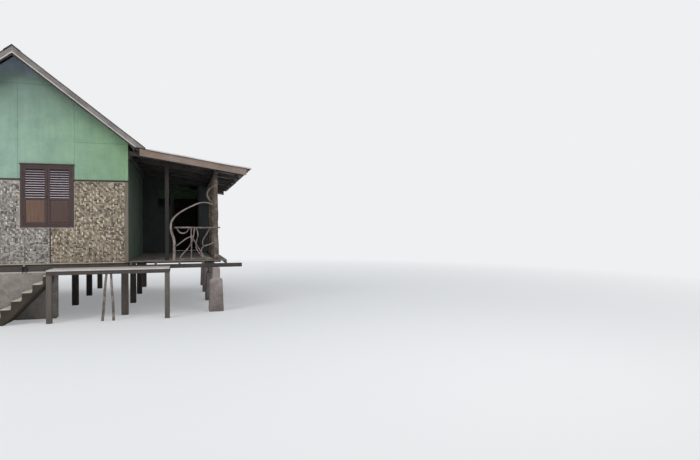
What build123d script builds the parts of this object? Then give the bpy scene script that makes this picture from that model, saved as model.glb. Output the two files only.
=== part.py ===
"""Raised timber house with a gable roof, a lean-to verandah and a stair, in millimetres.

X runs along the gable wall, Y from the gable wall towards the back, Z up from the ground.
The origin is at ground level under the ridge, in the middle of the front plinth wall.
"""

import os
from math import cos, radians, sin, tan

from build123d import *

os.makedirs("parts", exist_ok=True)

# Plan of the house: widths along X, depths along Y
house_width = 4880
house_depth = 7200
verandah_width = 2140
end_wall_y = 5200
skin = 12
stud = 90
sole = 50

# Levels above the ground
floor_level = 1300
floor_boards = 30
joist_depth = 100
joist_width = 50
house_joist_count = 8
deck_joist_count = 5
bearer_depth = 120
rim_drop = 130
skin_lift = 10
lower_wall_height = 2050

# Plinth wall, stilts and piers
plinth_end_x = 840
plinth_thickness = 150
stilt = 160
pier_shaft = 190
pier_base = 380
pier_base_height = 840
pier_batter = 2.3

# Main roof
main_pitch = 38.2
ridge_rise = 5092
eave_reach = 420
verge_overhang = 400
rafter_depth = 100
rafter_width = 50
rafter_spacing = 1200
purlin = 50
seat_cut = 30
tail_right_reach = 100
tail_left_reach = 350
ridge_board_thickness = 40
ridge_board_depth = 180
barge_depth = 125
barge_thickness = 28

# Lean-to roof, its reaches measured from the outside of the gable wall's corner
lean_pitch = 9.0
lean_rise = 2792
lean_rise_reach = 530
lean_sheet_start = 100
lean_eave_reach = 3020
lean_barge_start = 300
lean_barge_reach = 2890
lean_barge_depth = 170
lean_tail_reach = 2850
first_lean_purlin = 160
last_lean_purlin = 2808
lean_purlin_count = 5
ledger_thickness = 50
ledger_depth = 120
verandah_beam_depth = 120
verandah_beam_reach = 300

# Corrugated sheets
wave_pitch = 76
wave_depth = 18
sheet_gauge = 4
sheet_past_barge = 20
ridge_gap = 40
ridge_purlin_x = 90
last_purlin_inset = 190
main_purlin_count = 6
cap_width = 220
cap_gauge = 3

# Verandah and walkway
deck_step = 50
deck_boards = 35
deck_overhang = 280
verandah_joist_depth = 65
walkway_joist_count = 5
verandah_bearer_depth = 100
front_bearer_overhang = 670
entry_post_reach = 920
entry_post = 95
rail_height = 890
walkway_drop = 80
walkway_boards = 45
walkway_width = 850
walkway_start_x = 770
walkway_end_reach = 1000
walkway_beam_depth = 75
walkway_post = 115
prop_feet_x = (2180, 1940)
prop_heads_x = (2130, 2030)
prop_sides = 8
prop_radius = 30

# Stair
riser = 183
tread_count = 6
tread_run = 212
top_tread_run = 65
stair_width = 800
waist = 198
stair_toe = 270
stair_wall_gap = 25

# Windows and doorways
window_width = 1160
window_height = 1520
window_inner_x = 50
left_window_inner_x = 650
sill_height = 900
window_frame = 55
window_frame_depth = 75
window_proud = 18
leaf_thickness = 35
leaf_gap = 4
leaf_stile = 55
leaf_mid_rail = 660
slat_count = 12
slat_width = 52
slat_thickness = 8
slat_tilt = 58
leaf_panel = 14
door_left_reach = 960
door_right_reach = 1860
door_head = 2250
transom_top = 2440
door_lining = 45
passage_rise = 2400
high_window_left_reach = 500
high_window_right_reach = 900
high_window_sill = 1650
high_window_head = 2250

# Trim
corner_board = 85
corner_board_thickness = 18
belt = 40
belt_thickness = 22

# Natural posts and branches
trunk_foot_radius = 70
trunk_head_radius = 48
trunk_sides = 10
side_post_foot_radius = 58
side_post_head_radius = 50
rail_radius = 20
stick_radius = 17
stick_thinning = 0.3
arch_butt_radius = 32
arch_tip_radius = 18
fork_radius = 24
branch_sides = 6
side_rail_sides = 4
rail_length = 1000

# Values worked out from the sizes above
wall_corner = house_width / 2
frame_out = wall_corner - skin
frame_in = frame_out - stud
half_stud = stud / 2
back_y = house_depth
front_out = -half_stud
back_out = back_y + half_stud
front_face = front_out - skin
back_face = back_out + skin
centre_y = back_y / 2
verge_front = front_face - verge_overhang
verge_back = back_face + verge_overhang
deck_level = floor_level + deck_step
walkway_level = floor_level - walkway_drop
rim_bottom = floor_level - floor_boards - rim_drop
belt_level = floor_level + lower_wall_height
skin_bottom = floor_level + skin_lift
main_slope = tan(radians(main_pitch))
lean_slope = tan(radians(lean_pitch))
main_eave_x = wall_corner + eave_reach
lean_to_post_x = wall_corner + verandah_width
lean_sheet_start_x = wall_corner + lean_sheet_start
lean_eave_x = wall_corner + lean_eave_reach
deck_edge_x = lean_to_post_x + deck_overhang
entry_post_x = wall_corner + entry_post_reach
walkway_end_x = wall_corner + walkway_end_reach
door_left_x = wall_corner + door_left_reach
door_right_x = wall_corner + door_right_reach
lean_out = lean_to_post_x + half_stud
lean_face = lean_out + skin
rafter_drop = purlin + rafter_depth
sheet_length = verge_back - verge_front + 2 * (barge_thickness + sheet_past_barge)


def main_line(x, below=0.0):
    """Height of the main roof's purlin tops at x, or of a plane that lies square below them."""
    return floor_level + ridge_rise - main_slope * abs(x) - below / cos(radians(main_pitch))


def lean_line(x, below=0.0):
    """Height of the lean-to's purlin tops at x, or of a plane that lies square below them."""
    height = floor_level + lean_rise - lean_slope * (x - wall_corner - lean_rise_reach)
    return height - below / cos(radians(lean_pitch))


wall_head = main_line(frame_out, rafter_drop) + seat_cut
head_bottom = wall_head - stud
ledger_top = lean_line(wall_corner + ledger_thickness, rafter_drop) + seat_cut
beam_top = lean_line(lean_out, rafter_drop) + seat_cut
beam_bottom = beam_top - verandah_beam_depth
rafter_ys = [
    front_out + rafter_width / 2,
    *[rafter_spacing * i for i in range(1, int(back_y / rafter_spacing))],
    back_out - rafter_width / 2,
]
leaf_height = window_height - 2 * window_frame - 2 * leaf_gap
leaf_width = (window_width - 2 * window_frame - leaf_gap) / 2


def block(x0, x1, y0, y1, z0, z1, mode=Mode.ADD):
    """A straight timber or block between two corners, added to the part that is open."""
    with Locations(((x0 + x1) / 2, (y0 + y1) / 2, (z0 + z1) / 2)):
        Box(x1 - x0, y1 - y0, z1 - z0, mode=mode)


def section_at(y):
    """Upright sketch plane across the house at y, seen from the front."""
    return Plane(origin=(0, y, 0), x_dir=(1, 0, 0), z_dir=(0, -1, 0))


def cross_piece(points, y0, y1, mode=Mode.ADD):
    """A piece with one outline in X and Z, carried from y0 to y1."""
    with BuildSketch(section_at(y0)) as outline:
        Polygon(*points, align=None)
    extrude(outline.sketch, amount=y1 - y0, dir=(0, 1, 0), mode=mode)


def save(part, name):
    """Name the finished piece and write its file."""
    part.label = name
    export_step(part, f"parts/{name}.step")


# Ground works: plinth wall, stilts and piers
with BuildPart() as front_plinth:
    block(
        -wall_corner, plinth_end_x,
        -plinth_thickness / 2, plinth_thickness / 2,
        0, rim_bottom,
    )
save(front_plinth.part, "front_plinth")

stilt_xs = [-frame_out + stilt / 2, -frame_out / 3, frame_out / 3, frame_out - stilt / 2]
middle_rows = [house_depth / 3, house_depth * 2 / 3]
bearer_bottom = floor_level - floor_boards - joist_depth - bearer_depth
corner_stilt_y = front_out + stilt / 2
back_stilt_y = back_out - stilt / 2
with BuildPart() as stilts:
    upright = (Align.CENTER, Align.CENTER, Align.MIN)
    with Locations((stilt_xs[-1], corner_stilt_y, 0), *[(x, back_stilt_y, 0) for x in stilt_xs]):
        Box(stilt, stilt, rim_bottom, align=upright)
    with Locations(*[(x, y, 0) for x in stilt_xs for y in middle_rows]):
        Box(stilt, stilt, bearer_bottom, align=upright)
save(stilts.part, "stilts")

verandah_bearer_top = deck_level - deck_boards - verandah_joist_depth
verandah_bearer_bottom = verandah_bearer_top - verandah_bearer_depth
verandah_rows = [0, *middle_rows, back_y]
with BuildPart() as verandah_piers:
    with BuildSketch():
        with Locations(*[(lean_to_post_x, y) for y in verandah_rows]):
            Rectangle(pier_base, pier_base)
    extrude(amount=pier_base_height, taper=pier_batter)
    with BuildSketch(Plane.XY.offset(pier_base_height)):
        with Locations(*[(lean_to_post_x, y) for y in verandah_rows]):
            Rectangle(pier_shaft, pier_shaft)
    extrude(amount=verandah_bearer_bottom - pier_base_height)
save(verandah_piers.part, "verandah_piers")

# Floor frame: rims, bearers and joists
with BuildPart() as floor_rims:
    for y0, y1 in ((front_out, half_stud), (back_y - half_stud, back_out)):
        block(-frame_out, frame_out, y0, y1, rim_bottom, floor_level - floor_boards)
    for x0, x1 in ((-frame_out, -frame_in), (frame_in, frame_out)):
        block(x0, x1, half_stud, back_y - half_stud, bearer_bottom + bearer_depth,
              floor_level - floor_boards)
save(floor_rims.part, "floor_rims")

with BuildPart() as floor_bearers:
    for y in middle_rows:
        block(-frame_out, frame_out, y - half_stud, y + half_stud,
              bearer_bottom, bearer_bottom + bearer_depth)
save(floor_bearers.part, "floor_bearers")

house_joist_step = 2 * frame_in / (house_joist_count + 1)
first_deck_joist = wall_corner + joist_width
deck_joist_step = (deck_edge_x - joist_width / 2 - first_deck_joist) / (deck_joist_count - 1)
with BuildPart() as floor_joists:
    for i in range(1, house_joist_count + 1):
        x = -frame_in + house_joist_step * i
        block(x - joist_width / 2, x + joist_width / 2, half_stud, back_y - half_stud,
              bearer_bottom + bearer_depth, floor_level - floor_boards)
    for i in range(deck_joist_count):
        x = first_deck_joist + deck_joist_step * i
        block(x - joist_width / 2, x + joist_width / 2, front_out, back_out,
              verandah_bearer_top, verandah_bearer_top + verandah_joist_depth)
save(floor_joists.part, "floor_joists")

with BuildPart() as house_floor:
    block(-frame_out, frame_out, front_out, back_out, floor_level - floor_boards, floor_level)
save(house_floor.part, "house_floor")

# Verandah floor
with BuildPart() as verandah_bearers:
    for y in verandah_rows:
        end_x = lean_to_post_x + front_bearer_overhang if y == 0 else deck_edge_x
        block(frame_out, end_x, y - half_stud, y + half_stud,
              verandah_bearer_bottom, verandah_bearer_top)
save(verandah_bearers.part, "verandah_bearers")

with BuildPart() as verandah_deck:
    block(wall_corner, deck_edge_x, front_face, back_face,
          deck_level - deck_boards, deck_level)
save(verandah_deck.part, "verandah_deck")

# Walkway along the front wall
walkway_front = front_face - walkway_width
beam_z1 = walkway_level - walkway_boards
beam_z0 = beam_z1 - walkway_beam_depth
with BuildPart() as walkway_frame:
    block(walkway_start_x, walkway_end_x, walkway_front, walkway_front + joist_width,
          beam_z0, beam_z1)
    step = (walkway_end_x - walkway_start_x - joist_width) / (walkway_joist_count - 1)
    for i in range(walkway_joist_count):
        x = walkway_start_x + joist_width / 2 + step * i
        wall_side = front_out if x > plinth_end_x else -plinth_thickness / 2
        block(x - joist_width / 2, x + joist_width / 2, walkway_front + joist_width, wall_side,
              beam_z0, beam_z1)
save(walkway_frame.part, "walkway_frame")

with BuildPart() as walkway_deck:
    block(walkway_start_x, walkway_end_x, walkway_front, -plinth_thickness / 2,
          beam_z1, walkway_level)
save(walkway_deck.part, "walkway_deck")

post_y = walkway_front + walkway_post / 2
stair_front = -plinth_thickness / 2 - stair_wall_gap - stair_width
with BuildPart() as walkway_posts:
    for x in (walkway_start_x + walkway_post / 2, walkway_end_x - walkway_post / 2):
        block(x - walkway_post / 2, x + walkway_post / 2,
              walkway_front, walkway_front + walkway_post, 0, beam_z0)
    for foot_x, head_x in zip(prop_feet_x, prop_heads_x):
        for x, z in ((foot_x, 0), (head_x, beam_z0)):
            with BuildSketch(Plane(origin=(x, post_y, z))):
                RegularPolygon(prop_radius, prop_sides)
        loft(ruled=True)
save(walkway_posts.part, "walkway_posts")

# Stair: one masonry flight with a sloping underside
with BuildPart() as stair_flight:
    foot_x = walkway_start_x - top_tread_run - tread_run * (tread_count - 1)
    outline = [(foot_x, 0)]
    for i in range(tread_count):
        x = foot_x + tread_run * i
        run = tread_run if i < tread_count - 1 else top_tread_run
        outline += [(x, riser * (i + 1)), (x + run, riser * (i + 1))]
    outline += [(walkway_start_x, riser * tread_count - waist), (foot_x + stair_toe, 0)]
    cross_piece(outline, stair_front, stair_front + stair_width)
save(stair_flight.part, "stair_flight")


# Walls: thin skins on a timber frame
def window_holes(centres, low, high, along_x=True):
    """Cut the window openings out of a wall that lies between two planes."""
    for c in centres:
        z0 = floor_level + sill_height
        span = (c - window_width / 2, c + window_width / 2)
        if along_x:
            block(*span, low, high, z0, z0 + window_height, mode=Mode.SUBTRACT)
        else:
            block(low, high, *span, z0, z0 + window_height, mode=Mode.SUBTRACT)


gable_windows = [-left_window_inner_x - window_width / 2, window_inner_x + window_width / 2]
window_sides = [c + side * window_width / 2 for c in gable_windows for side in (-1, 1)]
left_windows = [house_depth / 6, house_depth * 5 / 6]
gable_top = [
    (wall_corner, main_line(wall_corner, purlin)),
    (0, main_line(0, purlin)),
    (-wall_corner, main_line(wall_corner, purlin)),
]
for name, y0, y1 in (("front", front_face, front_out), ("back", back_out, back_face)):
    with BuildPart() as lower_wall:
        block(-wall_corner, wall_corner, y0, y1, skin_bottom, belt_level)
        window_holes(gable_windows, y0, y1)
    save(lower_wall.part, f"{name}_bamboo_wall")
    with BuildPart() as gable_boards:
        low = [(-wall_corner, belt_level), (wall_corner, belt_level)]
        cross_piece(low + gable_top, y0, y1)
        window_holes(gable_windows, y0, y1)
    save(gable_boards.part, f"{name}_gable_boards")

side_top = main_line(wall_corner, rafter_drop)
with BuildPart() as left_bamboo_wall:
    block(-wall_corner, -frame_out, front_out, back_out, skin_bottom, belt_level)
    window_holes(left_windows, -wall_corner, -frame_out, along_x=False)
save(left_bamboo_wall.part, "left_bamboo_wall")

with BuildPart() as left_upper_boards:
    block(-wall_corner, -frame_out, front_out, back_out, belt_level, side_top)
    window_holes(left_windows, -wall_corner, -frame_out, along_x=False)
save(left_upper_boards.part, "left_upper_boards")

end_frame_front = end_wall_y - half_stud
end_frame_back = end_wall_y + half_stud
end_face = end_frame_front - skin
passage_head = floor_level + passage_rise
with BuildPart() as right_wall_boards:
    block(frame_out, wall_corner, front_out, end_frame_back, skin_bottom, side_top)
    block(frame_out, wall_corner, end_frame_back, back_out, passage_head, side_top)
save(right_wall_boards.part, "right_wall_boards")

# End wall of the verandah, split beside and over its doorway
wall_y = (end_face, end_frame_front)
over_door = floor_level + transom_top
room_wall_top = lean_line(lean_face, rafter_drop)
with BuildPart() as end_wall_left:
    block(wall_corner, door_left_x, *wall_y, deck_level, over_door)
    block(wall_corner + high_window_left_reach, wall_corner + high_window_right_reach, *wall_y,
          floor_level + high_window_sill, floor_level + high_window_head, mode=Mode.SUBTRACT)
save(end_wall_left.part, "end_wall_left")
with BuildPart() as end_wall_right:
    outline = [
        (door_right_x, deck_level),
        (lean_face, deck_level),
        (lean_face, lean_line(lean_face, purlin)),
        (door_right_x, lean_line(door_right_x, purlin)),
    ]
    cross_piece(outline, *wall_y)
    block(lean_to_post_x - half_stud, lean_out, *wall_y, beam_bottom, beam_top,
          mode=Mode.SUBTRACT)
save(end_wall_right.part, "end_wall_right")
with BuildPart() as end_wall_over_door:
    outline = [
        (wall_corner, over_door),
        (door_right_x, over_door),
        (door_right_x, lean_line(door_right_x, purlin)),
        (wall_corner, lean_line(wall_corner, purlin)),
    ]
    cross_piece(outline, *wall_y)
save(end_wall_over_door.part, "end_wall_over_door")

with BuildPart() as room_bamboo_wall:
    block(lean_out, lean_face, end_frame_front, back_out, deck_level, belt_level)
    block(wall_corner, lean_face, back_out, back_face, deck_level, belt_level)
save(room_bamboo_wall.part, "room_bamboo_wall")
with BuildPart() as room_upper_boards:
    block(lean_out, lean_face, end_frame_front, back_out, belt_level, room_wall_top)
    outline = [
        (wall_corner, belt_level),
        (lean_face, belt_level),
        (lean_face, room_wall_top),
        (wall_corner, lean_line(wall_corner, rafter_drop)),
    ]
    cross_piece(outline, back_out, back_face)
save(room_upper_boards.part, "room_upper_boards")

# Wall frame: sole plates, posts, head plates and gable studs
with BuildPart() as wall_plates:
    z0, z1 = floor_level, floor_level + sole
    block(-frame_in, frame_in, front_out, half_stud, z0, z1)
    block(-frame_in, frame_in, back_y - half_stud, back_out, z0, z1)
    block(-frame_out, -frame_in, front_out, back_out, z0, z1)
    block(frame_in, frame_out, front_out, end_frame_back, z0, z1)
    for x0, x1 in ((-frame_out, -frame_in), (frame_in, frame_out)):
        block(x0, x1, front_out, back_out, head_bottom, wall_head)
    for y0, y1 in ((front_out, half_stud), (back_y - half_stud, back_out)):
        block(-frame_in, frame_in, y0, y1, head_bottom, wall_head)
save(wall_plates.part, "wall_plates")

post_x = (frame_in + frame_out) / 2
post_base = floor_level + sole
with BuildPart() as wall_posts:
    right_posts = [0, end_wall_y / 3, end_wall_y * 2 / 3, end_wall_y]
    left_posts = [0, *middle_rows, back_y]
    for x, y in [(post_x, y) for y in right_posts] + [(-post_x, y) for y in left_posts]:
        block(x - half_stud, x + half_stud, y - half_stud, y + half_stud, post_base, head_bottom)
    block(frame_in, frame_out, back_y - half_stud, back_out, floor_level, head_bottom)
    for i, x in enumerate(window_sides):
        x0, x1 = sorted((x, x + (half_stud if i % 2 else -half_stud)))
        for y0, y1 in ((front_out, half_stud), (back_y - half_stud, back_out)):
            block(x0, x1, y0, y1, post_base, head_bottom)
    for y0, y1 in ((front_out, half_stud), (back_y - half_stud, back_out)):
        rafter_y0 = y0 if y0 < 0 else y1 - rafter_width
        for x in (-frame_out / 2, frame_out / 2):
            outline = [
                (x - half_stud, wall_head),
                (x + half_stud, wall_head),
                (x + half_stud, main_line(x + half_stud, rafter_drop)),
                (x - half_stud, main_line(x - half_stud, rafter_drop)),
            ]
            cross_piece(outline, rafter_y0, rafter_y0 + rafter_width)
save(wall_posts.part, "wall_posts")

# Corner boards and the batten between the two wall finishes
corners = [(-1, front_face, -1), (1, front_face, -1), (-1, back_face, 1)]
with BuildPart() as lower_corner_boards:
    for side, face, out in corners:
        x0, x1 = sorted((side * wall_corner, side * (wall_corner - corner_board)))
        y0, y1 = sorted((face, face + out * corner_board_thickness))
        block(x0, x1, y0, y1, skin_bottom, belt_level - belt / 2)
save(lower_corner_boards.part, "lower_corner_boards")
with BuildPart() as upper_corner_boards:
    for side, face, out in corners:
        x0, x1 = sorted((side * wall_corner, side * (wall_corner - corner_board)))
        y0, y1 = sorted((face, face + out * corner_board_thickness))
        block(x0, x1, y0, y1, belt_level + belt / 2, main_line(wall_corner, purlin))
save(upper_corner_boards.part, "upper_corner_boards")

belt_edges = [-wall_corner, *window_sides, wall_corner]
with BuildPart() as belt_battens:
    for y0, y1 in ((front_face - belt_thickness, front_face),
                   (back_face, back_face + belt_thickness)):
        for x0, x1 in zip(belt_edges[::2], belt_edges[1::2]):
            block(x0, x1, y0, y1, belt_level - belt / 2, belt_level + belt / 2)
save(belt_battens.part, "belt_battens")


# Windows: a frame and two leaves with slats above a sunk panel
def window_frame_at(centre):
    """Frame of one window, its outside edge flush with the opening in the wall."""
    y0 = front_face - window_proud
    x0, x1 = centre - window_width / 2, centre + window_width / 2
    z0 = floor_level + sill_height
    z1 = z0 + window_height
    block(x0, x1, y0, y0 + window_frame_depth, z0, z1)
    block(x0 + window_frame, x1 - window_frame, y0, y0 + window_frame_depth,
          z0 + window_frame, z1 - window_frame, mode=Mode.SUBTRACT)


def leaf_at(x0):
    """One shutter leaf whose lower left corner stands at x0."""
    y0 = front_face - window_proud + leaf_gap
    y1 = y0 + leaf_thickness
    x1 = x0 + leaf_width
    z0 = floor_level + sill_height + window_frame + leaf_gap
    z1 = z0 + leaf_height
    rail_z = floor_level + sill_height + leaf_mid_rail
    block(x0, x1, y0, y1, z0, z1)
    block(x0 + leaf_stile, x1 - leaf_stile, y0, y1, rail_z + leaf_stile, z1 - leaf_stile,
          mode=Mode.SUBTRACT)
    block(x0 + leaf_stile, x1 - leaf_stile, y0, y0 + leaf_panel, z0 + leaf_stile, rail_z,
          mode=Mode.SUBTRACT)
    pitch = (z1 - rail_z - 2 * leaf_stile) / slat_count
    for i in range(slat_count):
        z = rail_z + leaf_stile + pitch * (i + 0.5)
        with Locations(Location(((x0 + x1) / 2, (y0 + y1) / 2, z), (slat_tilt, 0, 0))):
            Box(leaf_width - 2 * leaf_stile, slat_width, slat_thickness)


def leaf_pair_at(centre):
    """Both leaves of the window at centre."""
    leaf_at(centre - leaf_gap / 2 - leaf_width)
    leaf_at(centre + leaf_gap / 2)


side_shift = frame_out + front_out
for name, shape in (("window_frames", window_frame_at), ("shutters", leaf_pair_at)):
    with BuildPart() as one:
        shape(0)
    turned = Rot(0, 0, -90) * one.part
    about_face = Rot(0, 0, 180) * one.part
    with BuildPart() as all_pieces:
        for x in gable_windows:
            add(Pos(x, 0, 0) * one.part)
            add(Pos(x, back_y, 0) * about_face)
        for y in left_windows:
            add(Pos(-side_shift, y, 0) * turned)
    save(all_pieces.part, name)

# Door lining and transom in the end wall of the verandah
with BuildPart() as door_lining_frame:
    z0 = floor_level + door_head
    z1 = floor_level + transom_top
    block(door_left_x, door_right_x, end_face, end_frame_back, deck_level, z1)
    block(door_left_x + door_lining, door_right_x - door_lining, end_face, end_frame_back,
          deck_level, z0 - door_lining, mode=Mode.SUBTRACT)
    block(door_left_x + door_lining, door_right_x - door_lining, end_face, end_frame_back,
          z0, z1 - door_lining, mode=Mode.SUBTRACT)
save(door_lining_frame.part, "door_lining")

# Verandah posts, beam and rails
with BuildPart() as entry_post_piece:
    x0, x1 = entry_post_x - entry_post / 2, entry_post_x + entry_post / 2
    outline = [
        (x0, deck_level),
        (x1, deck_level),
        (x1, lean_line(x1, rafter_drop)),
        (x0, lean_line(x0, rafter_drop)),
    ]
    cross_piece(outline, front_out, front_out + rafter_width)
save(entry_post_piece.part, "entry_post")


def stick(route, radius, across, sides):
    """A crooked stick with flat facets, mitred at each bend of its route."""
    with BuildLine() as path:
        Polyline(*route)
    start = Vector(*route[1]) - Vector(*route[0])
    with BuildSketch(Plane(origin=route[0], x_dir=across, z_dir=start)) as ring:
        RegularPolygon(radius, sides)
    sweep(ring.sketch, path=path.wire(), transition=Transition.RIGHT)


# Sideways sway and swelling of the trunk at each share of its height
trunk_shape = [
    (0.00, 0, 0), (0.14, 14, -4), (0.34, -10, -3), (0.53, 8, 5), (0.70, -12, 4), (0.86, 6, -2),
    (1.00, 0, 0),
]
trunk_rise = beam_bottom - deck_level
# The curled limb beside the trunk, as offsets from the trunk's axis and from the deck
fork_route = [(0, 1450), (-130, 1530), (-215, 1650), (-215, 1780), (-130, 1890), (0, 1960)]
with BuildPart() as trunk_post:
    for share, sway, swell in trunk_shape:
        radius = trunk_foot_radius + share * (trunk_head_radius - trunk_foot_radius) + swell
        place = (lean_to_post_x + sway, 0, deck_level + share * trunk_rise)
        with BuildSketch(Plane(origin=place)):
            RegularPolygon(radius, trunk_sides, major_radius=False)
    loft(ruled=True)
    stick([(lean_to_post_x + x, 0, deck_level + z) for x, z in fork_route],
          fork_radius, (0, 1, 0), branch_sides)
save(trunk_post.part, "trunk_post")

side_post_ys = [end_wall_y / 3, end_wall_y * 2 / 3]
with BuildPart() as verandah_posts:
    for y in (end_wall_y, back_y):
        block(lean_to_post_x - half_stud, lean_out, y - half_stud, y + half_stud,
              deck_level, beam_bottom)
    for y in side_post_ys:
        for level, radius in ((deck_level, side_post_foot_radius),
                              (beam_bottom, side_post_head_radius)):
            with BuildSketch(Plane(origin=(lean_to_post_x, y, level))):
                RegularPolygon(radius, trunk_sides, major_radius=False)
        loft(ruled=True)
save(verandah_posts.part, "verandah_posts")

with BuildPart() as verandah_beam:
    block(lean_to_post_x - half_stud, lean_out, front_face - verandah_beam_reach, back_out,
          beam_bottom, beam_top)
save(verandah_beam.part, "verandah_beam")

with BuildPart() as lean_ledger:
    block(wall_corner, wall_corner + ledger_thickness, front_out, back_out,
          ledger_top - ledger_depth, ledger_top)
    block(wall_corner, wall_corner + ledger_thickness, end_face, end_frame_front,
          ledger_top - ledger_depth, ledger_top, mode=Mode.SUBTRACT)
save(lean_ledger.part, "lean_ledger")

rail_z = floor_level + rail_height
rail_left_x = lean_to_post_x - rail_length
# Where the front rails end, as shares of the panel's width
front_rail_ends = (-0.04, 1.11)
# Routes of the sticks in one railing panel, as shares of its width and height
panel_sticks = [
    [(0.02, 1.00), (0.05, 0.88), (0.15, 0.81), (0.25, 0.84), (0.31, 0.93), (0.32, 1.00)],
    [(0.38, 1.00), (0.37, 0.70), (0.39, 0.36), (0.37, 0.00)],
    [(0.46, 1.00), (0.44, 0.70), (0.36, 0.46), (0.24, 0.26), (0.12, 0.12), (0.08, 0.00)],
    [(0.50, 1.00), (0.56, 0.80), (0.52, 0.64), (0.49, 0.46), (0.50, 0.32), (0.60, 0.15),
     (0.70, 0.00)],
    [(0.00, 0.42), (0.14, 0.55), (0.28, 0.68), (0.41, 0.74)],
    [(0.86, 1.00), (0.77, 0.80), (0.68, 0.64), (0.65, 0.52), (0.68, 0.40)],
    [(0.98, 0.53), (0.81, 0.45), (0.67, 0.40), (0.62, 0.28), (0.65, 0.13), (0.73, 0.04),
     (0.88, 0.02)],
    [(0.44, 0.62), (0.55, 0.36), (0.66, 0.16), (0.68, 0.00)],
]


def railing_panel(place, ends, across, sides):
    """Sticks and the two rails of one panel, where place turns shares into a point."""
    start, end = ends
    stick([place(start, 1.0), place(0.3, 1.01), place(0.65, 0.99), place(end, 1.0)],
          rail_radius, across, sides)
    stick([place(start, 0.0), place(end, 0.0)], rail_radius, across, sides)
    for number, route in enumerate(panel_sticks):
        radius = stick_radius - stick_thinning * number
        stick([place(u, v) for u, v in route], radius, across, sides)


foot_rail_z = deck_level + rail_radius


def front_place(u, v):
    """Point of the front railing at a share of its width and height."""
    return (rail_left_x + u * rail_length, 0, foot_rail_z + v * (rail_z - foot_rail_z))


# The bent branch beside the entry, as offsets from the railing's end and heights above the deck
arch_route = [
    (-50, 0), (-50, 250), (-40, 540), (-118, 700), (-140, 900), (-90, 1070), (125, 1260),
    (380, 1395), (590, 1490), (770, 1510), (940, 1440),
]
arch_split = 4
with BuildPart() as branch_arch:
    points = [(rail_left_x + x, 0, deck_level + z) for x, z in arch_route]
    lower = points[:arch_split + 1]
    upper = points[arch_split - 1:]
    stick(lower, arch_butt_radius, (0, 1, 0), branch_sides)
    stick(upper, arch_tip_radius, (0, 1, 0), branch_sides)
    add(trunk_post.part, mode=Mode.SUBTRACT)
save(branch_arch.part, "branch_arch")

with BuildPart() as front_railing:
    railing_panel(front_place, front_rail_ends, (0, 1, 0), branch_sides)
    add(trunk_post.part, mode=Mode.SUBTRACT)
    add(branch_arch.part, mode=Mode.SUBTRACT)
save(front_railing.part, "front_railing")

bay_edges = [0, *side_post_ys, end_face]
with BuildPart() as side_railing:
    for y0, y1 in zip(bay_edges, bay_edges[1:]):
        def side_place(u, v):
            """Point of the side railing at a share of this bay and its height."""
            return (lean_to_post_x, y0 + u * (y1 - y0), foot_rail_z + v * (rail_z - foot_rail_z))
        railing_panel(side_place, (0, 1), (1, 0, 0), side_rail_sides)
    block(lean_to_post_x - stud, lean_to_post_x + stud, end_face, back_y, deck_level, rail_z + stud,
          mode=Mode.SUBTRACT)
    add(trunk_post.part, mode=Mode.SUBTRACT)
    add(verandah_posts.part, mode=Mode.SUBTRACT)
    add(front_railing.part, mode=Mode.SUBTRACT)
save(side_railing.part, "side_railing")

# Roof frame
ridge_board_top = main_line(ridge_board_thickness / 2, purlin)
with BuildPart() as ridge_board:
    block(-ridge_board_thickness / 2, ridge_board_thickness / 2, front_out, back_out,
          ridge_board_top - ridge_board_depth, ridge_board_top)
save(ridge_board.part, "ridge_board")

with BuildPart() as main_rafters:
    for y in rafter_ys:
        for side, tail_reach in ((1, tail_right_reach), (-1, tail_left_reach)):
            tail = wall_corner + tail_reach
            head = ridge_board_thickness / 2
            outline = [
                (side * head, main_line(head, purlin)),
                (side * tail, main_line(tail, purlin)),
                (side * tail, main_line(tail, rafter_drop)),
                (side * head, main_line(head, rafter_drop)),
            ]
            cross_piece(outline, y - rafter_width / 2, y + rafter_width / 2)
    for x0, x1 in ((-frame_out, -frame_in), (frame_in, frame_out)):
        block(x0, x1, front_out, back_out, head_bottom, wall_head, mode=Mode.SUBTRACT)
save(main_rafters.part, "main_rafters")

purlin_step = (main_eave_x - last_purlin_inset - ridge_purlin_x) / (main_purlin_count - 1)
purlin_xs = [ridge_purlin_x + purlin_step * i for i in range(main_purlin_count)]
with BuildPart() as main_purlins:
    with BuildSketch(section_at(verge_front)):
        for x in purlin_xs:
            for side in (1, -1):
                with Locations((side * x, main_line(x, purlin / 2))):
                    Rectangle(purlin, purlin, rotation=-side * main_pitch)
    extrude(amount=verge_front - verge_back)
save(main_purlins.part, "main_purlins")

lean_tail_x = wall_corner + lean_tail_reach
with BuildPart() as lean_rafters:
    for y in rafter_ys:
        outline = [
            (wall_corner, lean_line(wall_corner, purlin)),
            (lean_tail_x, lean_line(lean_tail_x, purlin)),
            (lean_tail_x, lean_line(lean_tail_x, rafter_drop)),
            (wall_corner, lean_line(wall_corner, rafter_drop)),
        ]
        cross_piece(outline, y - rafter_width / 2, y + rafter_width / 2)
    add(lean_ledger.part, mode=Mode.SUBTRACT)
    add(verandah_beam.part, mode=Mode.SUBTRACT)
save(lean_rafters.part, "lean_rafters")

lean_purlin_step = (last_lean_purlin - first_lean_purlin) / (lean_purlin_count - 1)
first_lean_purlin_x = wall_corner + first_lean_purlin
lean_purlin_xs = [first_lean_purlin_x + lean_purlin_step * i for i in range(lean_purlin_count)]
with BuildPart() as lean_purlins:
    with BuildSketch(section_at(verge_front)):
        for x in lean_purlin_xs:
            with Locations((x, lean_line(x, purlin / 2))):
                Rectangle(purlin, purlin, rotation=-lean_pitch)
    extrude(amount=verge_front - verge_back)
save(lean_purlins.part, "lean_purlins")


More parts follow.
